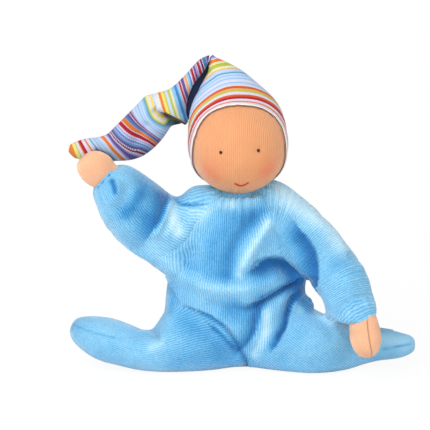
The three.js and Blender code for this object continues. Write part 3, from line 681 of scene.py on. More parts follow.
napAndShadeStrokes = [
    # path on the photo, width on its right and left, and how much deeper blue the velour's colour is made
    # there: partly the pile's nap, partly painted shade in hollows and creases, and painted highlight on
    # ridges where the value is below nought
    ([(167, 200), (165, 207), (162, 216), (155, 227)], 15, 2, 0.5),
    ([(146, 178), (158, 190), (168, 198)], 12, 12, 0.28),
    ([(141, 195), (134, 205), (126, 214)], 8, 6, 0.42),
    ([(143, 214), (150, 219)], 8, 8, 0.15),
    ([(112, 181), (114, 186), (115, 192)], 2.5, 2.5, 0.6),
    ([(171, 199), (175, 200), (181, 204), (191, 206), (203, 204.5)], 1, 2, 0.35),
    ([(261, 210), (249, 225), (237, 240), (230, 257), (229, 274)], 9, 7, 0.34),
    ([(240, 212), (226, 226), (216, 240), (212, 258)], 11, 12, 0.25),
    ([(188, 267), (205, 273), (222, 276)], 7, 7, 0.22),
    ([(261, 264), (268, 260.5), (281, 261), (291, 267), (299, 276)], 13, 2.2, 0.72),
    ([(303, 279), (286, 286), (272.5, 293), (263, 299)], 3, 5, 0.55),
    ([(228, 309), (240, 316), (250, 318)], 9, 9, 0.22),
    ([(298, 284), (290, 292)], 6, 6, 0.15),
    ([(262, 303), (260, 311), (257, 325), (250, 338), (241, 349)], 8, 1.5, 0.42),
    ([(298, 300), (304, 305), (310, 309)], 5, 5, 0.35),
    ([(236, 304), (244, 308), (262, 306)], 5, 5, 0.2),
    ([(301, 294), (292, 305), (288, 316), (285.5, 327), (280, 337.5), (275, 346)], 6, 1.5, 0.6),
    ([(305, 236), (310, 243), (314.5, 251), (317, 261), (317.3, 280)], 17, 1.5, 0.62),
    ([(213, 327), (222, 335), (233, 346.5)], 3, 1.5, 0.35),
    ([(203, 312.5), (215, 319), (226, 327), (235, 338), (242, 350.5), (247, 360)], 3.5, 1, 0.3),
    ([(186, 322), (205, 335), (222, 347)], 13, 13, 0.24),
    ([(180, 362), (210, 362), (243, 362)], 12, 12, 0.15),
    ([(74, 324.5), (83, 329), (93, 332.5), (102, 335), (114.5, 337.6)], 0.8, 0.8, 0.2),
    ([(322, 232), (333, 248), (338, 262)], 10, 10, 0.16),
    ([(170, 284), (173, 297), (171, 312)], 4, 4, 0.16),
    ([(384, 349), (397, 346.5), (410, 344)], 1.2, 1.2, 0.35),
    ([(232, 204), (243, 206), (254, 203)], 7, 7, -0.2),
    ([(268, 223), (257, 240), (247, 256), (239, 273)], 5, 5, -0.28),
    ([(280, 189), (300, 203), (322, 222), (340, 246)], 13, 12, -0.4),
    ([(172, 204), (173, 216), (178, 232)], 6, 6, -0.42),
    ([(192, 211), (200, 216)], 7, 7, -0.15),
    ([(200, 287), (222, 290), (246, 289)], 5, 5, -0.12),
    ([(267, 312), (264, 334), (254, 354)], 4, 6, -0.3),
    ([(297, 303), (300, 309)], 5, 5, -0.2),
    ([(152, 348), (160, 344)], 5, 5, -0.2),
    ([(318, 315), (334, 322), (348, 330)], 5, 5, -0.2),
    ([(384, 340), (406, 343)], 8, 8, -0.15),
    ([(150, 246), (170, 264), (200, 275)], 7, 7, -0.1),
    ([(205, 212), (216, 205), (232, 205)], 5, 5, -0.15),
]


pile = {
    # the strokes add painted shade and painted highlight to the plain value
    "plain": 0.39, "deepest": 1.15,  # tone away from the strokes, and the most that they may add up to
    "facing": (-0.25, 0.15),  # how far a point looks to the camera, where the strokes start and are full
    "sideDepth": 5,  # where the ribs of the front panel meet those of the back one
    # upright axes behind and before the middle that the body's ribs stand around, and the radii at which
    # they keep their pitch; the back's ribs are counted from another start
    "frontAxis": 42, "backAxis": 34, "bodyRadius": 64, "backShift": 300,
    "armRadius": 19, "legRadius": 20,
    "leftLegSlant": (0.6, 0.2, 0.78),  # the way across the left leg's ribs
}


def napAndPaintedShade(points, facing):
    # the pile's nap together with painted shade and painted highlight from the strokes, which lie only on the
    # side that the photo shows
    spots = seenAt(points)
    napShade = np.full(len(points), pile["plain"])
    for path, rightWidth, leftWidth, value in napAndShadeStrokes:
        off, side, share = alongPath(spots, smoothRows(path, 5))
        napShade += facing * value * np.exp(-(off / np.where(side > 0, rightWidth, leftWidth)) ** 2)
    return np.clip(napShade, 0, pile["deepest"])


def wales(points, kind):
    # distance across the ribs of the cloth: upright on the body, along the raised sleeve, round the other
    # one, lengthwise and aslant on the legs
    x, y, z = points.T
    if kind == 0:
        front = np.arctan2(x, pile["frontAxis"] - y) * pile["bodyRadius"]
        back = np.arctan2(x, y + pile["backAxis"]) * pile["bodyRadius"] + pile["backShift"]
        return np.where(y < pile["sideDepth"], front, back)
    if kind == 1:
        return aroundLimb(points, limbLines["rightArm"]) * pile["armRadius"]
    if kind == 2:
        return alongLimb(points, limbLines["leftArm"])[1]
    if kind == 3:
        return aroundLimb(points, limbLines["rightLeg"]) * pile["legRadius"]
    slantX, slantY, slantZ = pile["leftLegSlant"]
    return slantX * x + slantZ * z + slantY * y


def withoutIslands(faceCorners, facePart):
    # gives each small patch of faces that lies cut off from its piece to the piece around it
    pairs = {}
    for i, corners in enumerate(faceCorners):
        for k in range(len(corners)):
            pairs.setdefault(frozenset((corners[k - 1], corners[k])), []).append(i)
    beside = [[] for _ in faceCorners]
    for faces in pairs.values():
        if len(faces) == 2:
            beside[faces[0]].append(faces[1])
            beside[faces[1]].append(faces[0])
    seenFaces = set()
    for first in range(len(faceCorners)):
        if first in seenFaces:
            continue
        patch = [first]
        seenFaces.add(first)
        rim = []
        for i in patch:
            for n in beside[i]:
                if facePart[n] != facePart[first]:
                    rim.append(facePart[n])
                elif n not in seenFaces:
                    seenFaces.add(n)
                    patch.append(n)
        if len(patch) < sewing["smallestPatch"] and rim:
            facePart[patch] = max(set(rim), key=rim.count)
    return facePart


def hiddenSide(rows):
    # the limb's own round form just inside the skin, where it lies against its neighbour
    points, faces = softTube(smoothRows(rows, 3), around)
    rings = points[:-2].reshape(-1, around, 3)
    middles = rings.mean(axis=1, keepdims=True)
    rings = middles + (rings - middles) * sewing["innerShare"]
    inner = np.vstack([rings.reshape(-1, 3), middles[0], middles[-1]])
    inner[:, 2] = np.maximum(inner[:, 2], sewing["innerFoot"])
    return inner, faces


points = pointsOf(romper)
facing = smoothStep(-normalsOf(romper) @ ahead, *pile["facing"])
faceCorners = [tuple(p.vertices) for p in romper.data.polygons]
centres = np.array([points[list(c)].mean(axis=0) for c in faceCorners])
facePart = withoutIslands(faceCorners, partOf(centres))
hiddenSides = {"sleeveLeft": hiddenSide(leftArmRows[5:]), "legLeft": hiddenSide(leftLegRows[3:8])}
romperPieces = {}
for kind, name in enumerate(("romperBody", "sleeveRight", "sleeveLeft", "legRight", "legLeft")):
    chosen = [faceCorners[i] for i in np.nonzero(facePart == kind)[0]]
    used = sorted({v for face in chosen for v in face})
    place = {v: i for i, v in enumerate(used)}
    skin = points[used]
    skinFaces = [tuple(place[v] for v in face) for face in chosen]
    lit = facing[used]
    if name in hiddenSides:
        more, moreFaces = hiddenSides[name]
        skinFaces += [tuple(v + len(skin) for v in face) for face in moreFaces]
        skin = np.vstack([skin, more])
        lit = np.concatenate([lit, np.zeros(len(more))])
    piece = makePiece(name, skin, skinFaces)
    setValues(piece, "wale", wales(skin, kind))
    # the pile's nap with painted shade in hollows and creases and painted highlight on ridges
    setValues(piece, "napShade", napAndPaintedShade(skin, lit))
    mesh = bmesh.new()
    mesh.from_mesh(piece.data)
    rims = [e for e in mesh.edges if e.is_boundary]
    for e in rims:
        e.smooth = False
    bmesh.ops.holes_fill(mesh, edges=rims, sides=0)
    mesh.to_mesh(piece.data)
    mesh.free()
    romperPieces[name] = piece
bpy.data.objects.remove(romper)
print("romper cut into", {n: len(p.data.polygons) for n, p in romperPieces.items()})

# Head: jersey over a wool ball
headShape = {
    "middle": (0, 0, 167), "radius": 35.3,
    "around": 96, "levels": 61, "poleAngle": 0.03,
    "jaw": (5, 34), "jawWider": 0.05, "jawLower": 0.02,  # heights below the middle, and shares
    "ribShares": (0.3, 0.7),  # of the stitches: even round the head, and even across it
    "hoodGap": 1.2,  # from the head to the cap
    # pixels of the photo, then reach and depth, more than nought inwards
    "dents": ((220.7, 152.5, 3.2, 0.9), (258.4, 150.5, 3.2, 0.9), (241, 184.6, 7, 0.5)),
    "swells": ((212, 171, 11, 0.8), (266, 169, 11, 0.8), (239.5, 166, 5, 0.5), (240, 196, 10, 0.5)),
    "cheeks": ((210, 172.5), (268, 170.5)), "cheekReach": 9.5,
    "eyes": {"eyeKnotRight": (220.7, 152.5), "eyeKnotLeft": (258.4, 150.5)},
    "eyeRadius": 1.15, "eyeForm": (1, 0.75, 1.05), "eyeSunk": 0.35,
    "mouth": ((234.6, 183.2), (238, 185), (241.4, 185.6), (245, 184.4), (248.6, 182.2)),
    "mouthRadius": 0.72, "mouthProud": 0.55,
}
headMiddle = np.array(headShape["middle"], float)


def onBall(px, py, radius):
    # the place on a ball about the head's middle that shows at a pixel of the photo
    ray = atDepth(px, py, 0) - eye
    ray /= np.linalg.norm(ray)
    away = eye - headMiddle
    b = away @ ray
    return eye + ray * (-b - math.sqrt(max(b * b - away @ away + radius ** 2, 0)))


def headForm(points):
    # rounder at the jaw than a ball is
    away = points - headMiddle
    low = smoothStep(-away[:, 2], *headShape["jaw"])
    away[:, :2] *= (1 + headShape["jawWider"] * low)[:, None]
    away[:, 2] *= 1 + headShape["jawLower"] * low
    return headMiddle + away


def nearSpot(points, px, py, reach):
    # 1 at a spot of the head that shows at a pixel of the photo, less and less around it
    away = np.linalg.norm(points - onBall(px, py, headShape["radius"]), axis=1)
    return np.exp(-(away / reach) ** 2)


headTurns = np.linspace(0, 2 * math.pi, headShape["around"], endpoint=False)
rings = [
    np.stack([
        np.cos(headTurns) * math.sin(p),
        np.sin(headTurns) * math.sin(p),
        np.full(headShape["around"], math.cos(p)),
    ], 1) * headShape["radius"] + headMiddle
    for p in np.linspace(headShape["poleAngle"], math.pi - headShape["poleAngle"], headShape["levels"])
]
points, faces = closeRings(rings)
face = closedPiece("faceJersey", (headForm(points), faces))
points = pointsOf(face)
inwards = np.zeros(len(points))
for px, py, reach, depth in headShape["dents"]:
    inwards += depth * nearSpot(points, px, py, reach)
for px, py, reach, height in headShape["swells"]:
    inwards -= height * nearSpot(points, px, py, reach)
setPoints(face, points - normalsOf(face) * inwards[:, None])
turn = np.arctan2(points[:, 0], -points[:, 1])
ribRound, ribAcross = headShape["ribShares"]
setValues(face, "wale", ribRound * turn * headShape["radius"] + ribAcross * points[:, 0])
blush = np.zeros(len(points))
for px, py in headShape["cheeks"]:
    blush = np.maximum(blush, nearSpot(points, px, py, headShape["cheekReach"]))
setValues(face, "blush", blush)

eyes = []
for name, (px, py) in headShape["eyes"].items():
    spot = onBall(px, py, headShape["radius"] - headShape["eyeSunk"])
    bpy.ops.mesh.primitive_uv_sphere_add(segments=20, ring_count=12, radius=headShape["eyeRadius"] / 1000)
    knot = bpy.context.object
    knot.name = name
    setPoints(knot, pointsOf(knot) * np.array(headShape["eyeForm"]) + spot)
    for polygon in knot.data.polygons:
        polygon.use_smooth = True
    eyes.append(knot)


def cordAlong(name, path, radius, sides=10):
    # a round thread through the points of a path
    path = np.array(path, float)
    rings = []
    heading = np.gradient(path, axis=0)
    heading /= np.linalg.norm(heading, axis=1)[:, None]
    flat = np.cross(heading, [0, 0, 1.0])
    flat /= np.maximum(np.linalg.norm(flat, axis=1), 1e-9)[:, None]
    over = np.cross(flat, heading)
    angles = np.linspace(0, 2 * math.pi, sides, endpoint=False)
    for spot, one, other in zip(path, flat, over):
        rings.append(spot + radius * (np.outer(np.cos(angles), one) + np.outer(np.sin(angles), other)))
    return closedPiece(name, closeRings(rings))


mouthRadius = headShape["radius"] + headShape["mouthProud"]
mouthPath = [onBall(x, y, mouthRadius) for x, y in smoothRows(headShape["mouth"], 6)]
mouth = cordAlong("mouthStitch", mouthPath, headShape["mouthRadius"])
print("head made")

# Striped stocking cap
crownRows = [
    # height on the photo, left and right outline there, and half depth in millimetres
    (57, 209.8, 216, 5),
    (63, 208.5, 229, 10),
    (70, 208, 241.5, 15),
    (77, 205, 250.5, 20),
    (84.4, 200.8, 259.5, 25),
    (92, 197.2, 268.5, 29),
    (99.7, 193, 276, 32.5),
    (108.9, 190, 282, 35),
    (117, 188.8, 284.8, 36.2),
    (125, 188, 286.5, 36.5),
    (141, 187.5, 287, 36.5),
    (150, 188, 286.5, 36.5),
    (160, 190, 284, 35.5),
    (172, 196, 277, 32),
    (182, 206, 268, 25),
    (190, 219, 256, 15),
]
capShape = {
    "around": 96, "point": (212.5, 54, 0),  # pixel of the photo, and depth
    "pointHeading": (-0.36, 0.15, 0.93),
    "snug": (3, 20),  # behind the edge, where the cap leaves the head
    "thickness": 0.8, "stretch": 0.9,  # of the jersey: flat area by the area it is stretched to
    "neckHeight": 135, "backDepths": (2, 30),  # where the rings behind the head start
    "ribRadius": 36,
    # the rolled edge: its place over the head, half width, how much that waves, and half thickness
    "hemLift": 0.1, "hemPuff": 0.8, "hemWave": 0.6, "hemThick": 1.0,
    "hemRings": 180, "hemSides": 14, "hemPitch": 1.25, "hemScallop": 11, "hemUneven": 5,
}
rows = [(xl, py, xr, py, 0, d) for py, xl, xr, d in crownRows]
peak = atDepth(*capShape["point"])
crown = closedPiece("capCrown", softTube(smoothRows(rows, 5), capShape["around"], peak, None))
hemAngles = [
    # angle about the head's facing, then how far the cap's edge lies from straight ahead, in degrees
    (-150, 104), (-120, 118), (-90, 122), (-60, 104), (-33, 85), (-7, 71.8), (10, 69.6), (28, 70.5),
    (46, 68.5), (67, 63.2), (85, 60), (103, 60.5), (121, 62.6), (144, 64.5), (165, 63.6), (190, 69.5),
    (212, 85), (240, 104), (270, 122), (300, 118), (330, 104),
]
hemCurve = smoothRows(hemAngles, 8)
hemRadius = headShape["radius"] + headShape["hoodGap"]


def fromHem(points):
    # how far behind the cap's edge a point lies, along the head
    away = points - headMiddle
    turn = np.degrees(np.arctan2(away[:, 2], away[:, 0]))
    turn = np.where(turn < -90, turn + 360, turn)
    out = np.degrees(np.arctan2(np.hypot(away[:, 0], away[:, 2]), -away[:, 1]))
    return np.radians(out - np.interp(turn, hemCurve[:, 0], hemCurve[:, 1])) * hemRadius


points = pointsOf(crown)
behind = fromHem(points)
away = points - headMiddle
reach = np.linalg.norm(away, axis=1)
snug = hemRadius + (reach - hemRadius) * smoothStep(behind, *capShape["snug"])
points = headMiddle + away / reach[:, None] * np.maximum(snug, hemRadius)[:, None]
setPoints(crown, points)
splitWhere(crown, fromHem(points), dropBelow=True)

peakHeading = np.array(capShape["pointHeading"])
peakHeading /= np.linalg.norm(peakHeading)


def crownShare(points):
    # how far from the cap's edge to its point a place lies; behind the head the rings are level
    behind = np.maximum(fromHem(points), 0)
    below = np.maximum((peak - points) @ peakHeading, 0)
    front = behind / (behind + below + 1e-6)
    back = np.clip((points[:, 2] - capShape["neckHeight"]) / (peak[2] - capShape["neckHeight"]), 0, 1)
    return front + (back - front) * smoothStep(points[:, 1], *capShape["backDepths"])


points = pointsOf(crown)
setValues(crown, "stripe", 100 * crownShare(points))
setValues(crown, "wale", np.arctan2(points[:, 0], -points[:, 1]) * capShape["ribRadius"])
applied(crown, "SOLIDIFY", thickness=capShape["thickness"] / 1000, offset=-1)

count = capShape["hemRings"]
hemTurns = np.radians(np.linspace(-90, 270, count + 1)[:-1])
hemOut = np.radians(np.interp(np.degrees(hemTurns), hemCurve[:, 0], hemCurve[:, 1]))
hemPath = headMiddle + (hemRadius + capShape["hemLift"]) * np.stack([
    np.sin(hemOut) * np.cos(hemTurns), -np.cos(hemOut), np.sin(hemOut) * np.sin(hemTurns),
], 1)
rolls = np.linspace(0, 2 * math.pi, capShape["hemSides"], endpoint=False)
rings = []
for i, spot in enumerate(hemPath):
    heading = hemPath[(i + 1) % count] - hemPath[i - 1]
    heading /= np.linalg.norm(heading)
    out = (spot - headMiddle) / np.linalg.norm(spot - headMiddle)
    inwards = np.cross(out, heading)
    wave = math.sin(i * math.pi / capShape["hemScallop"] + math.sin(i / capShape["hemUneven"]))
    puff = capShape["hemPuff"] + capShape["hemWave"] * abs(wave)
    thick = capShape["hemThick"] * np.outer(np.sin(rolls), out)
    rings.append(spot + puff * np.outer(np.cos(rolls), inwards) + thick)
hem = closedPiece("capRolledEdge", joinLoop(rings))
setValues(hem, "roll", np.tile(0.5 + 0.5 * np.cos(rolls), count))
setValues(hem, "wale", np.repeat(np.arange(count) * capShape["hemPitch"], len(rolls)))

yarns = {
    "white": "#d2cddc", "cream": "#ddd5c6", "mist": "#b6c9e6", "sky": "#86b6dc", "blue": "#3c7fb6",
    "teal": "#5095b6", "navy": "#35396e", "lilac": "#a294c6", "plum": "#5d4c8c", "crimson": "#a91630",
    "wine": "#7a1838", "orange": "#d8762c", "rust": "#cc5320", "peach": "#d99c66", "gold": "#e4cd68",
    "straw": "#dcd58c", "olive": "#b0b642", "mint": "#ccdccc",
}
crownStripes = [
    # width in hundredths of the way from the edge to the point, and yarn
    (7.4, "white"), (2.4, "orange"), (3.2, "white"), (3, "crimson"), (2.6, "rust"), (2.8, "white"),
    (2.1, "olive"), (1.8, "peach"), (2.6, "rust"), (1, "white"), (2.2, "mist"), (1.5, "sky"), (2.2, "white"),
    (1.6, "mist"), (1.2, "sky"), (3, "mist"), (1, "sky"), (2.6, "mist"), (1.5, "teal"), (1.4, "sky"),
    (4.8, "mist"), (1.7, "peach"), (2.8, "straw"), (2.2, "cream"), (7.4, "olive"), (3.2, "straw"),
    (2.4, "cream"), (9.6, "orange"), (4, "white"), (6, "lilac"), (16, "plum"),
]
tailStripes = [
    # width in the photo's pixels along the tail from its root, and yarn
    (4.9, "navy"), (2, "lilac"), (3.4, "plum"), (1.6, "lilac"), (3, "blue"), (0.8, "white"), (2.2, "wine"),
    (1.4, "mist"), (3, "crimson"), (0.8, "white"), (2, "lilac"), (2, "plum"), (0.8, "white"), (3, "crimson"),
    (1, "white"), (1.6, "blue"), (2.2, "sky"), (0.8, "mist"), (2.6, "peach"), (0.8, "white"), (4, "plum"),
    (0.7, "white"), (1.6, "crimson"), (1, "white"), (2, "sky"), (2.8, "blue"), (3.6, "sky"), (1.2, "straw"),
    (1, "white"), (2.8, "olive"), (2.4, "mist"), (1.4, "olive"), (3, "gold"), (2.6, "orange"), (0.9, "white"),
    (2, "mint"), (2.6, "white"), (2, "mist"), (2.6, "gold"), (2.2, "white"), (1.6, "straw"), (1, "olive"),
    (1.6, "teal"), (2.2, "sky"), (1.8, "mist"), (1.2, "sky"), (1.8, "mist"), (0.8, "teal"), (2.2, "mist"),
    (0.9, "sky"), (2.4, "mist"), (1.4, "lilac"), (1.6, "wine"), (0.7, "white"), (1.8, "plum"), (2.6, "blue"),
    (0.8, "lilac"), (4.2, "orange"), (0.7, "white"), (4.4, "crimson"), (0.8, "white"), (1.6, "lilac"),
    (1.4, "mist"), (1.6, "blue"), (1, "lilac"), (1.4, "teal"), (2.2, "plum"), (0.7, "white"), (1.5, "wine"),
    (0.7, "white"), (0.9, "lilac"), (2.8, "plum"), (1.6, "lilac"), (1.6, "mist"), (0.6, "white"),
    (4.2, "orange"), (0.8, "white"), (3.2, "mist"), (1.6, "sky"), (3, "mist"), (0.8, "teal"), (3.4, "mist"),
    (0.9, "teal"), (1.6, "mist"), (2.8, "white"), (2.2, "orange"), (3.6, "white"), (3.9, "crimson"),
    (1.2, "orange"), (3, "white"), (1, "olive"), (2.4, "straw"), (1.4, "gold"), (2, "orange"),
]
tailRows = [
    # two outline pixels of the photo, depth and half thickness
    (209.5, 55, 208.5, 62, 0, 4), (204, 57, 206.5, 67, 0.3, 4.5), (199, 60, 202, 73.5, 1, 5),
    (193, 66, 197, 79.5, 2, 5.5), (187, 73, 192.4, 86.5, 3, 6), (181, 79, 188.4, 97, 4, 7),
    (176, 84, 186.4, 108, 5, 7.5), (168, 89.5, 186.6, 120.5, 6, 8.5), (160, 92, 181, 123.5, 7.5, 9),
    (152, 94, 172, 126, 9, 9), (145, 96.5, 168, 131, 11, 9), (137, 104.5, 163.5, 137.5, 13, 9),
    (129, 112.5, 158, 144, 15, 9), (121, 120.5, 151, 150.5, 17, 8.5), (114, 127.5, 142, 156.5, 18, 8),
    (107, 134, 131, 160, 19, 7.5), (98, 137, 119, 161, 20, 7), (90, 138, 107, 161, 20, 6.5),
    (82, 139.5, 95, 161, 20, 6), (75, 142, 83, 160, 20, 5), (70, 144.5, 74.5, 158, 20, 3.5),
]
flapEdge = [(155, 105), (160.5, 110.5), (168, 113.5), (177, 118), (189, 124.5)]
tailFolds = [
    (flapEdge, -4.5, 7, 2.6, 5, None),
    ([(152, 96), (156, 104), (160, 111)], -1, 3, 1.2, 3, None),
    ([(150, 122), (141, 133), (133, 147)], -1.2, 5, -1.2, 5, None),
    ([(174, 92), (180, 104), (184, 116)], -1, 4, -1, 4, None),
    ([(118, 134), (112, 144), (106, 154)], 0.8, 5, 0.8, 5, None),
]
tailShape = {
    "around": 40, "end": (68, 152, 20), "endBeyond": 3, "waleSpan": 60,
    # where the tail leaves the head and where it swings freely, as pixel of the photo and depth
    "blendStart": (192, 90, 4), "blendEnd": (160, 115, 10),
    # places along the tail are counted in the photo's pixels from its free end
    # the flap: the pixel of its tip, the lean of its rings, the way down from its edge, its stripes' place
    "flapTip": (160.5, 110.5), "ringLean": 0.31, "edgeDown": (-0.412, 0.911), "flapStripe": 108.2,
    "flapSoft": 2.5, "flapHides": 8, "flapSide": (-2, 8), "flapReach": (70, 92),
    # how the stripes bow and lean where the tail bends
    "bendFrom": (121, 121), "bendLean": 0.75, "bendWidth": 42, "bow": 3.4, "bowAt": 66, "bowReach": 18,
    "lean": 11, "leanWidth": 50, "leanStart": (44, 66), "leanEnd": (84, 104),
    # painted shade under the flap, in the folds, near the point and where the tail lies against the hand:
    # path, reach and depth
    "flapShade": ((4, 0.42), (11, 0.36)), "flapShadeStart": (0.15, 0.4),
    "shades": (
        ([(96, 150), (103, 152.5), (109, 156), (114, 161)], 2.2, 0.5),
        ([(98, 152), (106, 155), (115, 161)], 8, 0.3),
        ([(170, 124), (178, 124.5), (186, 123)], 3.5, 0.45),
        ([(210, 56), (204, 66), (198, 78)], 5, 0.3),
        ([(186, 96), (182, 108), (180, 118)], 6, 0.25),
        ([(161, 113), (168, 117)], 4, 0.3),
        ([(125, 112), (133, 128), (132, 142)], 7, 0.14),
    ),
    # painted shade on the undersides, by how far they face down
    "underShade": 0.35, "underFacing": (0.2, 1), "deepestShade": 0.85,
}
around = tailShape["around"]
rows = smoothRows(tailRows, 7)
tail = closedPiece("capTail", softTube(rows, around, None, atDepth(*tailShape["end"])))
gone = lengthGone(middlesOf(rows))
tailLength = gone[-1]
ends = [0, tailLength + tailShape["endBeyond"]]
setValues(tail, "stripe", np.concatenate([np.repeat(gone, around), ends]))
tailWales = np.linspace(0, tailShape["waleSpan"], around, endpoint=False)
setValues(tail, "wale", np.concatenate([np.tile(tailWales, len(rows)), [0, 0]]))
applied(tail, "SUBSURF", levels=2, render_levels=2)
pressFolds(tail, tailFolds)
points = pointsOf(tail)
spots = seenAt(points)
stripes = np.empty(len(points), dtype=np.float32)
tail.data.attributes["stripe"].data.foreach_get("value", stripes)
wide = tailLength / sum(w for w, yarn in tailStripes)
regular = (tailLength - stripes) / wide
fromTip = spots - np.array(tailShape["flapTip"])
toPeak = fromTip[:, 0] - tailShape["ringLean"] * fromTip[:, 1]
below = fromTip @ np.array(tailShape["edgeDown"])
soft = tailShape["flapSoft"]
bent = soft * np.logaddexp(-toPeak / soft, below / soft)
bent += tailShape["flapHides"] * smoothStep(toPeak, *tailShape["flapSide"])
flapStripesAndPaintedShade = tailShape["flapStripe"] + np.where((toPeak > 0) & (below < 0), toPeak, -bent)
onFlap = smoothStep(regular, *tailShape["flapReach"])
fromBend = spots - np.array(tailShape["bendFrom"])
down = fromBend[:, 1] + tailShape["bendLean"] * fromBend[:, 0]
bow = np.sin(math.pi * np.clip(down / tailShape["bendWidth"], 0, 1))
bow *= tailShape["bow"] * np.exp(-((regular - tailShape["bowAt"]) / tailShape["bowReach"]) ** 2)
lean = tailShape["lean"] * np.clip(down / tailShape["leanWidth"], 0, 1)
lean *= smoothStep(regular, *tailShape["leanStart"]) * (1 - smoothStep(regular, *tailShape["leanEnd"]))
setValues(tail, "stripe", tailLength - wide * (flapStripesAndPaintedShade * onFlap + (regular + bow - lean) * (1 - onFlap)))
# painted shade: under the flap's edge, along the folds, near the point, where the tail lies against the hand,
# and on the undersides
off, side, share = alongPath(spots, smoothRows(flapEdge, 6))
underFlap = (side > 0) * smoothStep(share, *tailShape["flapShadeStart"])
shade = underFlap * sum(depth * np.exp(-(off / reach) ** 2) for reach, depth in tailShape["flapShade"])
for path, reach, depth in tailShape["shades"]:
    shade += depth * np.exp(-(alongPath(spots, path)[0] / reach) ** 2)
low = smoothStep(-normalsOf(tail)[:, 2], *tailShape["underFacing"])
shade = np.maximum(shade, tailShape["underShade"] * low)
setValues(tail, "shade", np.clip(shade, 0, tailShape["deepestShade"]))
print("tail length", round(float(tailLength), 1))

shadowWebRows = [
    # the cap's cloth in the gap where it folds between head and tail, made as a dark navy sheet: painted
    # shadow
    (208, 62, 211.5, 62, 2, 1), (202.5, 70, 209.5, 71, 2.5, 1.2), (194, 80, 204, 81, 3, 1.4),
    (189.5, 91, 200.5, 92, 3.5, 1.5), (185.5, 103, 195, 103, 4, 1.5), (184, 113, 191.5, 111, 4.5, 1.4),
    (185.5, 121, 190, 119, 5, 1),
]
shadowWeb = closedPiece("foldShadowSheet", softTube(smoothRows(shadowWebRows, 4), 16))
print("cap made")

# Hands and threads
# two outline pixels of the photo, depth and half thickness
rightHandRows = [
    (120, 167, 99, 192.5, -21, 9), (115, 164, 95, 188, -22, 10.5), (111, 158, 88, 184, -23.5, 11.5),
    (105, 153.5, 82, 178.5, -25, 12), (98, 151, 78, 171.5, -26, 11.5), (90, 151.5, 77, 164, -27, 8.5),
]
leftHandRows = [
    (376, 315, 348.6, 315, -37, 9.5), (378.2, 322, 348.9, 322, -38, 10.3), (380.4, 330, 349.4, 330, -39, 11),
    (381.6, 340, 350, 340, -40.5, 11.5), (379, 350, 353.8, 350, -41.5, 10),
    (373.5, 356.5, 359.5, 356.5, -42, 6),
]
handShape = {
    "around": 40, "ribRadius": 11,
    "rows": {"handRight": rightHandRows, "handLeft": leftHandRows},
    "tips": {"handRight": (81.5, 156, -27), "handLeft": (366.5, 359, -42)},  # pixel of the photo, and depth
    # the seam that shows on one hand: path, half width, how dark it is and how deep
    "seams": {"handLeft": [(367, 316), (367.8, 328), (369.4, 339), (371.6, 352), (372, 357)]},
    "seamWidth": 0.7, "seamDark": 0.7, "seamDepth": 0.5,
}
hands = {}
for name, rows in handShape["rows"].items():
    rows = smoothRows(rows, 5)
    hand = closedPiece(name, softTube(rows, handShape["around"], None, atDepth(*handShape["tips"][name])))
    applied(hand, "SUBSURF", levels=2, render_levels=2)
    eased(hand, 2)
    points = pointsOf(hand)
    setValues(hand, "wale", aroundLimb(points, middlesOf(rows)) * handShape["ribRadius"])
    seam = np.zeros(len(points))
    if name in handShape["seams"]:
        off = alongPath(seenAt(points), handShape["seams"][name])[0]
        normals = normalsOf(hand)
        seam = handShape["seamDark"] * np.exp(-(off / handShape["seamWidth"]) ** 2) * (normals @ ahead < 0)
        setPoints(hand, points - normals * (handShape["seamDepth"] * seam)[:, None])
    setValues(hand, "seam", seam)
    hands[name] = hand
print("hands made")


def ringCord(name, row, sizeShare, radius, around=60, sides=10):
    # a round thread tied around a form, whose row gives two outline pixels, depth and half thickness
    ring = softTube([row, row], around)[0][:around]
    ring = ring.mean(axis=0) + (ring - ring.mean(axis=0)) * sizeShare
    rings = []
    rolls = np.linspace(0, 2 * math.pi, sides, endpoint=False)
    for i, spot in enumerate(ring):
        heading = ring[(i + 1) % around] - ring[i - 1]
        heading /= np.linalg.norm(heading)
        out = spot - ring.mean(axis=0)
        out -= heading * (out @ heading)
        out /= np.linalg.norm(out)
        over = np.cross(heading, out)
        rings.append(spot + radius * (np.outer(np.cos(rolls), out) + np.outer(np.sin(rolls), over)))
    return closedPiece(name, joinLoop(rings))


def levelRow(height, radius):
    # the outline row of a level ring around the neck
    left, right = seenAt(np.array([[-radius, 0, height], [radius, 0, height]]))
    return (*right, *left, 0, radius)


threadShape = {
    # name: row, share of its size, radius of the thread, node and body
    "cuffThreadRight": ((115.5, 166.5, 94.8, 189.2, -22, 11.4), 0.93, 0.7, "cuff_thread_right", "right_arm"),
    "cuffThreadLeft": ((375.6, 316, 349, 318.5, -37, 10.2), 0.93, 0.7, "cuff_thread_left", "left_arm"),
    "collarThread": (levelRow(128, 13), 1, 0.8, "collar_thread", "torso"),
    "neckTieThread": (levelRow(131, 11.6), 1, 0.8, "neck_tie", "neck"),
}
threads = {
    name: (ringCord(name, row, share, radius), node, body)
    for name, (row, share, radius, node, body) in threadShape.items()
}

neckShape = {"radius": 11.5, "long": 14, "height": 128.5, "ribRadius": 15}
bpy.ops.mesh.primitive_cylinder_add(
    vertices=64, radius=neckShape["radius"] / 1000, depth=neckShape["long"] / 1000,
    location=(0, 0, neckShape["height"] / 1000),
)
neck = bpy.context.object
bpy.ops.object.transform_apply(location=True)
neck.name = "neckJersey"
points = pointsOf(neck)
setValues(neck, "wale", np.arctan2(points[:, 0], -points[:, 1]) * neckShape["ribRadius"])
print("threads and neck made")

# Materials: the pitches, sizes and bump depths in each look are in millimetres


def linear(code):
    # the shader's colour for an sRGB hex value
    parts = [int(code[i:i + 2], 16) / 255 for i in (1, 3, 5)]
    return [c / 12.92 if c <= 0.04045 else ((c + 0.055) / 1.055) ** 2.4 for c in parts] + [1]


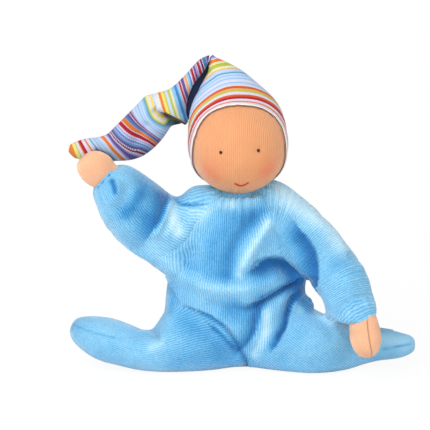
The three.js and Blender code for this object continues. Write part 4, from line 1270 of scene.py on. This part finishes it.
def addNode(tree, kind, settings=None, links=None):
    # a shader node; settings are for its sockets, by name or number, or else for the node itself
    made = tree.nodes.new("ShaderNode" + kind)
    for key, value in (settings or {}).items():
        if isinstance(key, int) or key in made.inputs:
            made.inputs[key].default_value = value
        else:
            setattr(made, key, value)
    for key, socket in (links or {}).items():
        tree.links.new(socket, made.inputs[key])
    return made


def newMaterial(name):
    material = bpy.data.materials.new(name)
    material.use_nodes = True
    tree = material.node_tree
    tree.nodes.clear()
    return material, tree


def paintRamp(ramp, stops):
    # gives a colour ramp its stops, each a share of the way and a hex value
    elements = ramp.color_ramp.elements
    elements.remove(elements[1])
    for i, (at, colour) in enumerate(stops):
        element = elements[0] if i == 0 else elements.new(at)
        element.position = at
        element.color = linear(colour)


def ribSine(tree, name, pitch):
    # waves between 0 and 1 along an attribute that is in millimetres
    value = addNode(tree, "Attribute", {"attribute_name": name})
    turn = addNode(tree, "Math", {"operation": "MULTIPLY", 1: 2 * math.pi / pitch}, {0: value.outputs["Fac"]})
    wave = addNode(tree, "Math", {"operation": "SINE"}, {0: turn.outputs[0]})
    return addNode(tree, "Math", {"operation": "MULTIPLY_ADD", 1: 0.5, 2: 0.5}, {0: wave.outputs[0]})


def velourMaterial(name):
    # cotton velour: short matt pile in broken fine ribs with painted shade in their valleys, painted shade
    # (deeper blue) in the hollows and painted highlight on the ridges together with the pile's nap, and a
    # pale bloom; the real pile is finer than a pixel, so its nap is drawn as coarse as it has to be to show
    look = {
        "ribPitch": 1.5, "driftSize": 5.88, "breakSize": 2.38, "napSize": 1.25, "patchSize": 23.8,
        "ribValleyShade": 0.25, "napDepth": 0.5, "patchDepth": 0.34, "napHeight": 1.3,
        "colours": ((0.0, "#bde0f0"), (0.32, "#84c1e3"), (0.64, "#4c99cc"), (1.0, "#2d6dab")),
        "bloom": "#d6eaf6", "bumpStrength": 0.6, "bumpDepth": 0.5,
    }
    material, tree = newMaterial(name)
    place = addNode(tree, "TexCoord").outputs["Object"]
    wale = addNode(tree, "Attribute", {"attribute_name": "wale"})
    napShade = addNode(tree, "Attribute", {"attribute_name": "napShade"})
    drift = addNode(tree, "TexNoise", {"Scale": 1000 / look["driftSize"], "Detail": 3}, {"Vector": place})
    warped = addNode(tree, "Math", {"operation": "ADD"}, {0: drift.outputs["Fac"], 1: wale.outputs["Fac"]})
    turn = addNode(tree, "Math", {"operation": "MULTIPLY", 1: 2 * math.pi / look["ribPitch"]},
                   {0: warped.outputs[0]})
    wave = addNode(tree, "Math", {"operation": "SINE"}, {0: turn.outputs[0]})
    broken = addNode(tree, "TexNoise", {"Scale": 1000 / look["breakSize"], "Detail": 2}, {"Vector": place})
    rib = addNode(tree, "Math", {"operation": "MULTIPLY"}, {0: wave.outputs[0], 1: broken.outputs["Fac"]})
    nap = addNode(tree, "TexNoise", {"Scale": 1000 / look["napSize"], "Detail": 3, "Roughness": 0.7},
                  {"Vector": place})
    patch = addNode(tree, "TexNoise", {"Scale": 1000 / look["patchSize"], "Detail": 4, "Roughness": 0.6},
                    {"Vector": place})
    # painted shade in the hollows and painted highlight on the ridges, together with the pile's nap
    deep = napShade.outputs["Fac"]
    for mark, depth in ((patch, look["patchDepth"]), (nap, look["napDepth"])):
        swing = addNode(tree, "Math", {"operation": "MULTIPLY_ADD", 1: depth, 2: -depth / 2},
                        {0: mark.outputs["Fac"]})
        deep = addNode(tree, "Math", {"operation": "ADD"}, {0: deep, 1: swing.outputs[0]}).outputs[0]
    # painted shade in the ribs' valleys, and a paler colour on their tops
    deep = addNode(tree, "Math", {"operation": "MULTIPLY_ADD", 1: -look["ribValleyShade"]},
                   {0: rib.outputs[0], 2: deep})
    ramp = addNode(tree, "ValToRGB", links={0: deep.outputs[0]})
    paintRamp(ramp, look["colours"])
    height = addNode(tree, "Math", {"operation": "MULTIPLY_ADD", 1: look["napHeight"]},
                     {0: nap.outputs["Fac"], 2: rib.outputs[0]})
    bump = addNode(tree, "Bump", {"Strength": look["bumpStrength"], "Distance": look["bumpDepth"] / 1000},
                   {"Height": height.outputs[0]})
    shader = addNode(tree, "BsdfPrincipled", {
        "Roughness": 1.0, "Sheen Weight": 1.0, "Sheen Roughness": 0.35, "Sheen Tint": linear(look["bloom"]),
        "Specular IOR Level": 0.05,
    }, {"Base Color": ramp.outputs[0], "Normal": bump.outputs[0]})
    addNode(tree, "OutputMaterial", links={"Surface": shader.outputs[0]})
    return material


def jerseyMaterial(name, base, dark, flush):
    # fine cotton jersey stretched over wool: upright stitches, a matt bloom and a soft blush; the stitches
    # and the fuzz are drawn as coarse as they have to be to show
    look = {
        "ribPitch": 1.45, "patchSize": 22.2, "fuzzSize": 0.77, "fuzzHeight": 0.8,
        "ribShade": 0.75, "blushDepth": 0.75, "seam": "#5c2c1c", "seamDepth": 0.8,
        "bloom": "#ffd9c4", "bumpStrength": 0.7, "bumpDepth": 0.5,
    }
    material, tree = newMaterial(name)
    rib = ribSine(tree, "wale", look["ribPitch"])
    place = addNode(tree, "TexCoord").outputs["Object"]
    patch = addNode(tree, "TexNoise", {"Scale": 1000 / look["patchSize"], "Detail": 4}, {"Vector": place})
    fuzz = addNode(tree, "TexNoise", {"Scale": 1000 / look["fuzzSize"], "Detail": 2}, {"Vector": place})
    colour = addNode(tree, "Mix", {"data_type": "RGBA", 6: linear(base), 7: linear(dark)},
                     {0: patch.outputs["Fac"]})
    red = addNode(tree, "Attribute", {"attribute_name": "blush"})
    seam = addNode(tree, "Attribute", {"attribute_name": "seam"})
    for mark, depth, over in (
        (rib.outputs[0], look["ribShade"], dark),
        (red.outputs["Fac"], look["blushDepth"], flush),
        (seam.outputs["Fac"], look["seamDepth"], look["seam"]),
    ):
        share = addNode(tree, "Math", {"operation": "MULTIPLY", 1: depth}, {0: mark})
        colour = addNode(tree, "Mix", {"data_type": "RGBA", 7: linear(over)},
                         {0: share.outputs[0], 6: colour.outputs[2]})
    height = addNode(tree, "Math", {"operation": "MULTIPLY_ADD", 1: look["fuzzHeight"]},
                     {0: fuzz.outputs["Fac"], 2: rib.outputs[0]})
    bump = addNode(tree, "Bump", {"Strength": look["bumpStrength"], "Distance": look["bumpDepth"] / 1000},
                   {"Height": height.outputs[0]})
    shader = addNode(tree, "BsdfPrincipled", {
        "Roughness": 0.85, "Sheen Weight": 1.0, "Sheen Roughness": 0.35, "Sheen Tint": linear(look["bloom"]),
        "Specular IOR Level": 0.25, "Subsurface Weight": 0.1, "Subsurface Radius": (0.004, 0.002, 0.001),
        "Subsurface Scale": 1.0,
    }, {"Base Color": colour.outputs[2], "Normal": bump.outputs[0]})
    addNode(tree, "OutputMaterial", links={"Surface": shader.outputs[0]})
    return material


def stripeRamp(tree, value, stripes, start, length):
    # a row of stripes along a value from its start: its colour, and where the row ends
    place = start
    stops = []
    for width, colour in stripes:
        stops.append(((place - start) / length, colour))
        place += width
    scaled = addNode(tree, "Math", {"operation": "SUBTRACT", 1: start}, {0: value})
    scaled = addNode(tree, "Math", {"operation": "DIVIDE", 1: length}, {0: scaled.outputs[0]})
    ramp = addNode(tree, "ValToRGB", links={0: scaled.outputs[0]})
    ramp.color_ramp.interpolation = "CONSTANT"
    paintRamp(ramp, stops)
    return ramp.outputs[0], place


def knitMaterial(name, stripes):
    # thin striped jersey: each stripe a few rows of stitches, with small steps where colours meet; the
    # stitches are drawn as coarse as they have to be to show
    look = {
        "stitchPitch": 1.0, "rowPitch": 1.1, "driftSize": 16.7,
        "stitchStep": 0.55, "drift": 1.4, "stripeShift": 0.95, "dipShade": 0.45, "lightest": 1.03,
        "bumpStrength": 0.3, "bumpDepth": 0.25,
        "perRamp": 30,  # a ramp holds 32 colours at most, so a longer row of stripes takes the next one
    }
    material, tree = newMaterial(name)
    along = addNode(tree, "Attribute", {"attribute_name": "stripe"})
    stitch = ribSine(tree, "wale", look["stitchPitch"])
    row = ribSine(tree, "stripe", look["rowPitch"])
    place = addNode(tree, "TexCoord").outputs["Object"]
    drift = addNode(tree, "TexNoise", {"Scale": 1000 / look["driftSize"], "Detail": 2}, {"Vector": place})
    bent = addNode(tree, "Math", {"operation": "MULTIPLY_ADD", 1: look["stitchStep"]},
                   {0: stitch.outputs[0], 2: along.outputs["Fac"]})
    bent = addNode(tree, "Math", {"operation": "MULTIPLY_ADD", 1: look["drift"]},
                   {0: drift.outputs["Fac"], 2: bent.outputs[0]})
    bent = addNode(tree, "Math", {"operation": "SUBTRACT", 1: look["stripeShift"]}, {0: bent.outputs[0]})
    total = sum(width for width, colour in stripes)
    colour, end = stripeRamp(tree, bent.outputs[0], stripes[:look["perRamp"]], 0, total)
    for first in range(look["perRamp"], len(stripes), look["perRamp"]):
        start = end
        nextStripes = stripes[first:first + look["perRamp"]]
        ramp, end = stripeRamp(tree, bent.outputs[0], nextStripes, start, total)
        later = addNode(tree, "Math", {"operation": "GREATER_THAN", 1: start}, {0: bent.outputs[0]})
        colour = addNode(tree, "Mix", {"data_type": "RGBA"},
                         {0: later.outputs[0], 6: colour, 7: ramp}).outputs[2]
    dip = addNode(tree, "Math", {"operation": "MULTIPLY"}, {0: stitch.outputs[0], 1: row.outputs[0]})
    # painted shade: darker in the dips between stitches and rows, and darker still by the shade attribute
    # under the tail's flap, in its folds, where it lies against the hand and on its undersides
    flapStripesAndPaintedShade = addNode(tree, "Attribute", {"attribute_name": "shade"})
    light = addNode(tree, "Math", {"operation": "MULTIPLY_ADD", 1: -look["dipShade"], 2: look["lightest"]},
                    {0: dip.outputs[0]})
    light = addNode(tree, "Math", {"operation": "SUBTRACT"}, {0: light.outputs[0], 1: flapStripesAndPaintedShade.outputs["Fac"]})
    colour = addNode(tree, "VectorMath", {"operation": "SCALE"}, {0: colour, "Scale": light.outputs[0]})
    height = addNode(tree, "Math", {"operation": "ADD"}, {0: stitch.outputs[0], 1: row.outputs[0]})
    bump = addNode(tree, "Bump", {"Strength": look["bumpStrength"], "Distance": look["bumpDepth"] / 1000},
                   {"Height": height.outputs[0]})
    shader = addNode(tree, "BsdfPrincipled", {
        "Roughness": 0.85, "Sheen Weight": 0.15, "Sheen Roughness": 0.4, "Specular IOR Level": 0.25,
    }, {"Base Color": colour.outputs[0], "Normal": bump.outputs[0]})
    addNode(tree, "OutputMaterial", links={"Surface": shader.outputs[0]})
    return material


def plainCotton(name, colour, roughness):
    # cotton in one colour, spun to a thread or knitted: a fine fuzz and hardly any gloss
    look = {"fuzzSize": 0.667, "bumpStrength": 0.2, "bumpDepth": 0.2}
    material, tree = newMaterial(name)
    place = addNode(tree, "TexCoord").outputs["Object"]
    fuzz = addNode(tree, "TexNoise", {"Scale": 1000 / look["fuzzSize"], "Detail": 2}, {"Vector": place})
    bump = addNode(tree, "Bump", {"Strength": look["bumpStrength"], "Distance": look["bumpDepth"] / 1000},
                   {"Height": fuzz.outputs["Fac"]})
    shader = addNode(tree, "BsdfPrincipled", {
        "Base Color": linear(colour), "Roughness": roughness, "Specular IOR Level": 0.3,
    }, {"Normal": bump.outputs[0]})
    addNode(tree, "OutputMaterial", links={"Surface": shader.outputs[0]})
    return material


def rolledEdgeMaterial(name):
    # the striped jersey's cut edge, rolled over itself: a bright roll between an orange and a dark line
    look = {"bands": ((0, "#c9783c"), (0.16, "#dcd5da"), (0.6, "#ddd0c8"), (0.955, "#5f4a52"))}
    material, tree = newMaterial(name)
    roll = addNode(tree, "Attribute", {"attribute_name": "roll"})
    ramp = addNode(tree, "ValToRGB", links={0: roll.outputs["Fac"]})
    ramp.color_ramp.interpolation = "CONSTANT"
    paintRamp(ramp, look["bands"])
    shader = addNode(tree, "BsdfPrincipled", {"Roughness": 0.85, "Specular IOR Level": 0.25},
                     {"Base Color": ramp.outputs[0]})
    addNode(tree, "OutputMaterial", links={"Surface": shader.outputs[0]})
    return material


velour = velourMaterial("cottonVelour")
faceMaterial = jerseyMaterial("woolFilledJersey", "#e8a97c", "#da9565", "#e07a55")
handMaterial = jerseyMaterial("handJersey", "#f7c6a2", "#ebae86", "#e98764")
crownMaterial = knitMaterial("stripedCapJersey", [(w, yarns[yarn]) for w, yarn in crownStripes])
tailMaterial = knitMaterial("stripedTailJersey", [(w * wide, yarns[yarn]) for w, yarn in tailStripes])
hemMaterial = rolledEdgeMaterial("rolledJerseyEdge")
# dark navy cotton for the sheet in the cap's fold, as painted shadow
paintedShadowNavy = plainCotton("paintedShadowJersey", "#1a2440", 0.9)
redThread = plainCotton("redCottonThread", "#c01818", 0.6)
brownThread = plainCotton("brownCottonThread", "#3a1508", 0.55)
blueThread = plainCotton("blueCottonThread", "#6fb2e0", 0.6)
creamThread = plainCotton("creamCottonThread", "#e8d9c0", 0.6)
print("materials made")


for piece in romperPieces.values():
    piece.data.materials.append(velour)
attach(romperPieces["romperBody"], "torso")
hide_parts("romper_front", "romper_back", "body_stuffing")
romperBlends = {
    # body at the far end, where the blend starts, its heading and its length
    "sleeveRight": ("right_arm", (-38, 2, 104), (-0.78, 0, 0.62), 34),
    "sleeveLeft": ("left_arm", (45, 2, 69), (0.97, 0, -0.24), 26),
    "legRight": ("right_leg", (-20, -6, 27), (-0.64, 0, -0.77), 34),
    "legLeft": ("left_leg", (26, -6, 27), (0.7, 0, -0.71), 34),
}
for name, (body, start, heading, length) in romperBlends.items():
    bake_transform(romperPieces[name])
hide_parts("sleeve_right", "arm_wool_right")
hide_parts("sleeve_left", "arm_wool_left")
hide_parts("leg_right", "leg_wool_right")
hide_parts("leg_left", "leg_wool_left")

for piece, material, slot, body in (
    (face, faceMaterial, "face_jersey", "head"),
    (crown, crownMaterial, "striped_jersey", "head"),
    (hem, hemMaterial, "striped_jersey", "head"),
    (shadowWeb, paintedShadowNavy, "striped_jersey", "head"),
    (tail, tailMaterial, "striped_jersey", None),
    (mouth, redThread, "red_thread", "head"),
    (eyes[0], brownThread, "brown_thread", "head"),
    (eyes[1], brownThread, "brown_thread", "head"),
    (hands["handRight"], handMaterial, "face_jersey", "right_arm"),
    (hands["handLeft"], handMaterial, "face_jersey", "left_arm"),
    (neck, faceMaterial, "face_jersey", "neck"),
):
    piece.data.materials.append(material)
    if body:
        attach(piece, body)
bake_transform(tail)
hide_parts("head_skin", "head_wool")
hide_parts("cap_crown")
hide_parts("cap_hem")
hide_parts("cap_tail", "tail_wool")
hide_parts("eye_right")
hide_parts("eye_left")
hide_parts("mouth_stitch")
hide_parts("neck_stub")
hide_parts("hand_right", "hand_wool_right")
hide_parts("hand_left", "hand_wool_left")
for thread, node, body in threads.values():
    cream = node == "neck_tie"
    thread.data.materials.append(creamThread if cream else blueThread)
    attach(thread, body)
    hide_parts(node)
print("pieces set on their bodies")

# Floor, backdrop and light
studio = {
    "floorSize": 6, "floorDrop": 0.0005,  # in metres
    "floorShade": (0.15, 0.55, 0.93, 1.0),  # the floor is a little darker near the doll: reach and strength
    "worldStrength": 0.5,
    # place, aim, size and power
    "keyLamp": ((-0.75, -0.8, 1.2), (0, 0, 0.1), 1.1, 19),
    "fillLamp": ((1.1, -0.8, 0.7), (0, 0, 0.1), 0.9, 4),
    "lowFill": ((0.1, -1.3, 0.12), (0, 0, 0.12), 0.9, 4),
}
bpy.ops.mesh.primitive_plane_add(size=studio["floorSize"], location=(0, 0, -studio["floorDrop"]))
floor = bpy.context.object
floor.name = "studioFloor"
floorMaterial, tree = newMaterial("whiteStudioFloor")
rays = addNode(tree, "LightPath")
matte = addNode(tree, "BsdfDiffuse", {"Color": linear("#ffffff")})
glow = addNode(tree, "Emission", {"Color": (1, 1, 1, 1), "Strength": 1})
spot = addNode(tree, "TexCoord")
reachOut = addNode(tree, "VectorMath", {"operation": "LENGTH"}, {0: spot.outputs["Object"]})
near, far, dim, full = studio["floorShade"]
fade = addNode(tree, "MapRange", {"From Min": near, "From Max": far, "To Min": dim, "To Max": full},
               {"Value": reachOut.outputs["Value"]})
share = addNode(tree, "Math", {"operation": "MULTIPLY"},
                {0: rays.outputs["Is Camera Ray"], 1: fade.outputs[0]})
mixed = addNode(tree, "MixShader", links={0: share.outputs[0], 1: matte.outputs[0], 2: glow.outputs[0]})
addNode(tree, "OutputMaterial", links={"Surface": mixed.outputs[0]})
floor.data.materials.append(floorMaterial)

world = bpy.data.worlds.new("studio")
bpy.context.scene.world = world
world.use_nodes = True
tree = world.node_tree
tree.nodes.clear()
rays = addNode(tree, "LightPath")
soft = addNode(tree, "Background", {"Color": (1, 1, 1, 1), "Strength": studio["worldStrength"]})
white = addNode(tree, "Background", {"Color": (1, 1, 1, 1), "Strength": 1})
seen = addNode(tree, "Math", {"operation": "MAXIMUM"},
               {0: rays.outputs["Is Camera Ray"], 1: rays.outputs["Is Glossy Ray"]})
seen = addNode(tree, "Math", {"operation": "MAXIMUM"},
               {0: seen.outputs[0], 1: rays.outputs["Is Transmission Ray"]})
mixed = addNode(tree, "MixShader", links={0: seen.outputs[0], 1: soft.outputs[0], 2: white.outputs[0]})
addNode(tree, "OutputWorld", links={"Surface": mixed.outputs[0]})

for name in ("keyLamp", "fillLamp", "lowFill"):
    place, aim, size, power = studio[name]
    bpy.ops.object.light_add(type="AREA", location=place)
    lamp = bpy.context.object
    lamp.name = name
    lamp.data.size = size
    lamp.data.energy = power
    lamp.rotation_euler = (Vector(aim) - Vector(place)).to_track_quat("-Z", "Y").to_euler()
print("stage set")
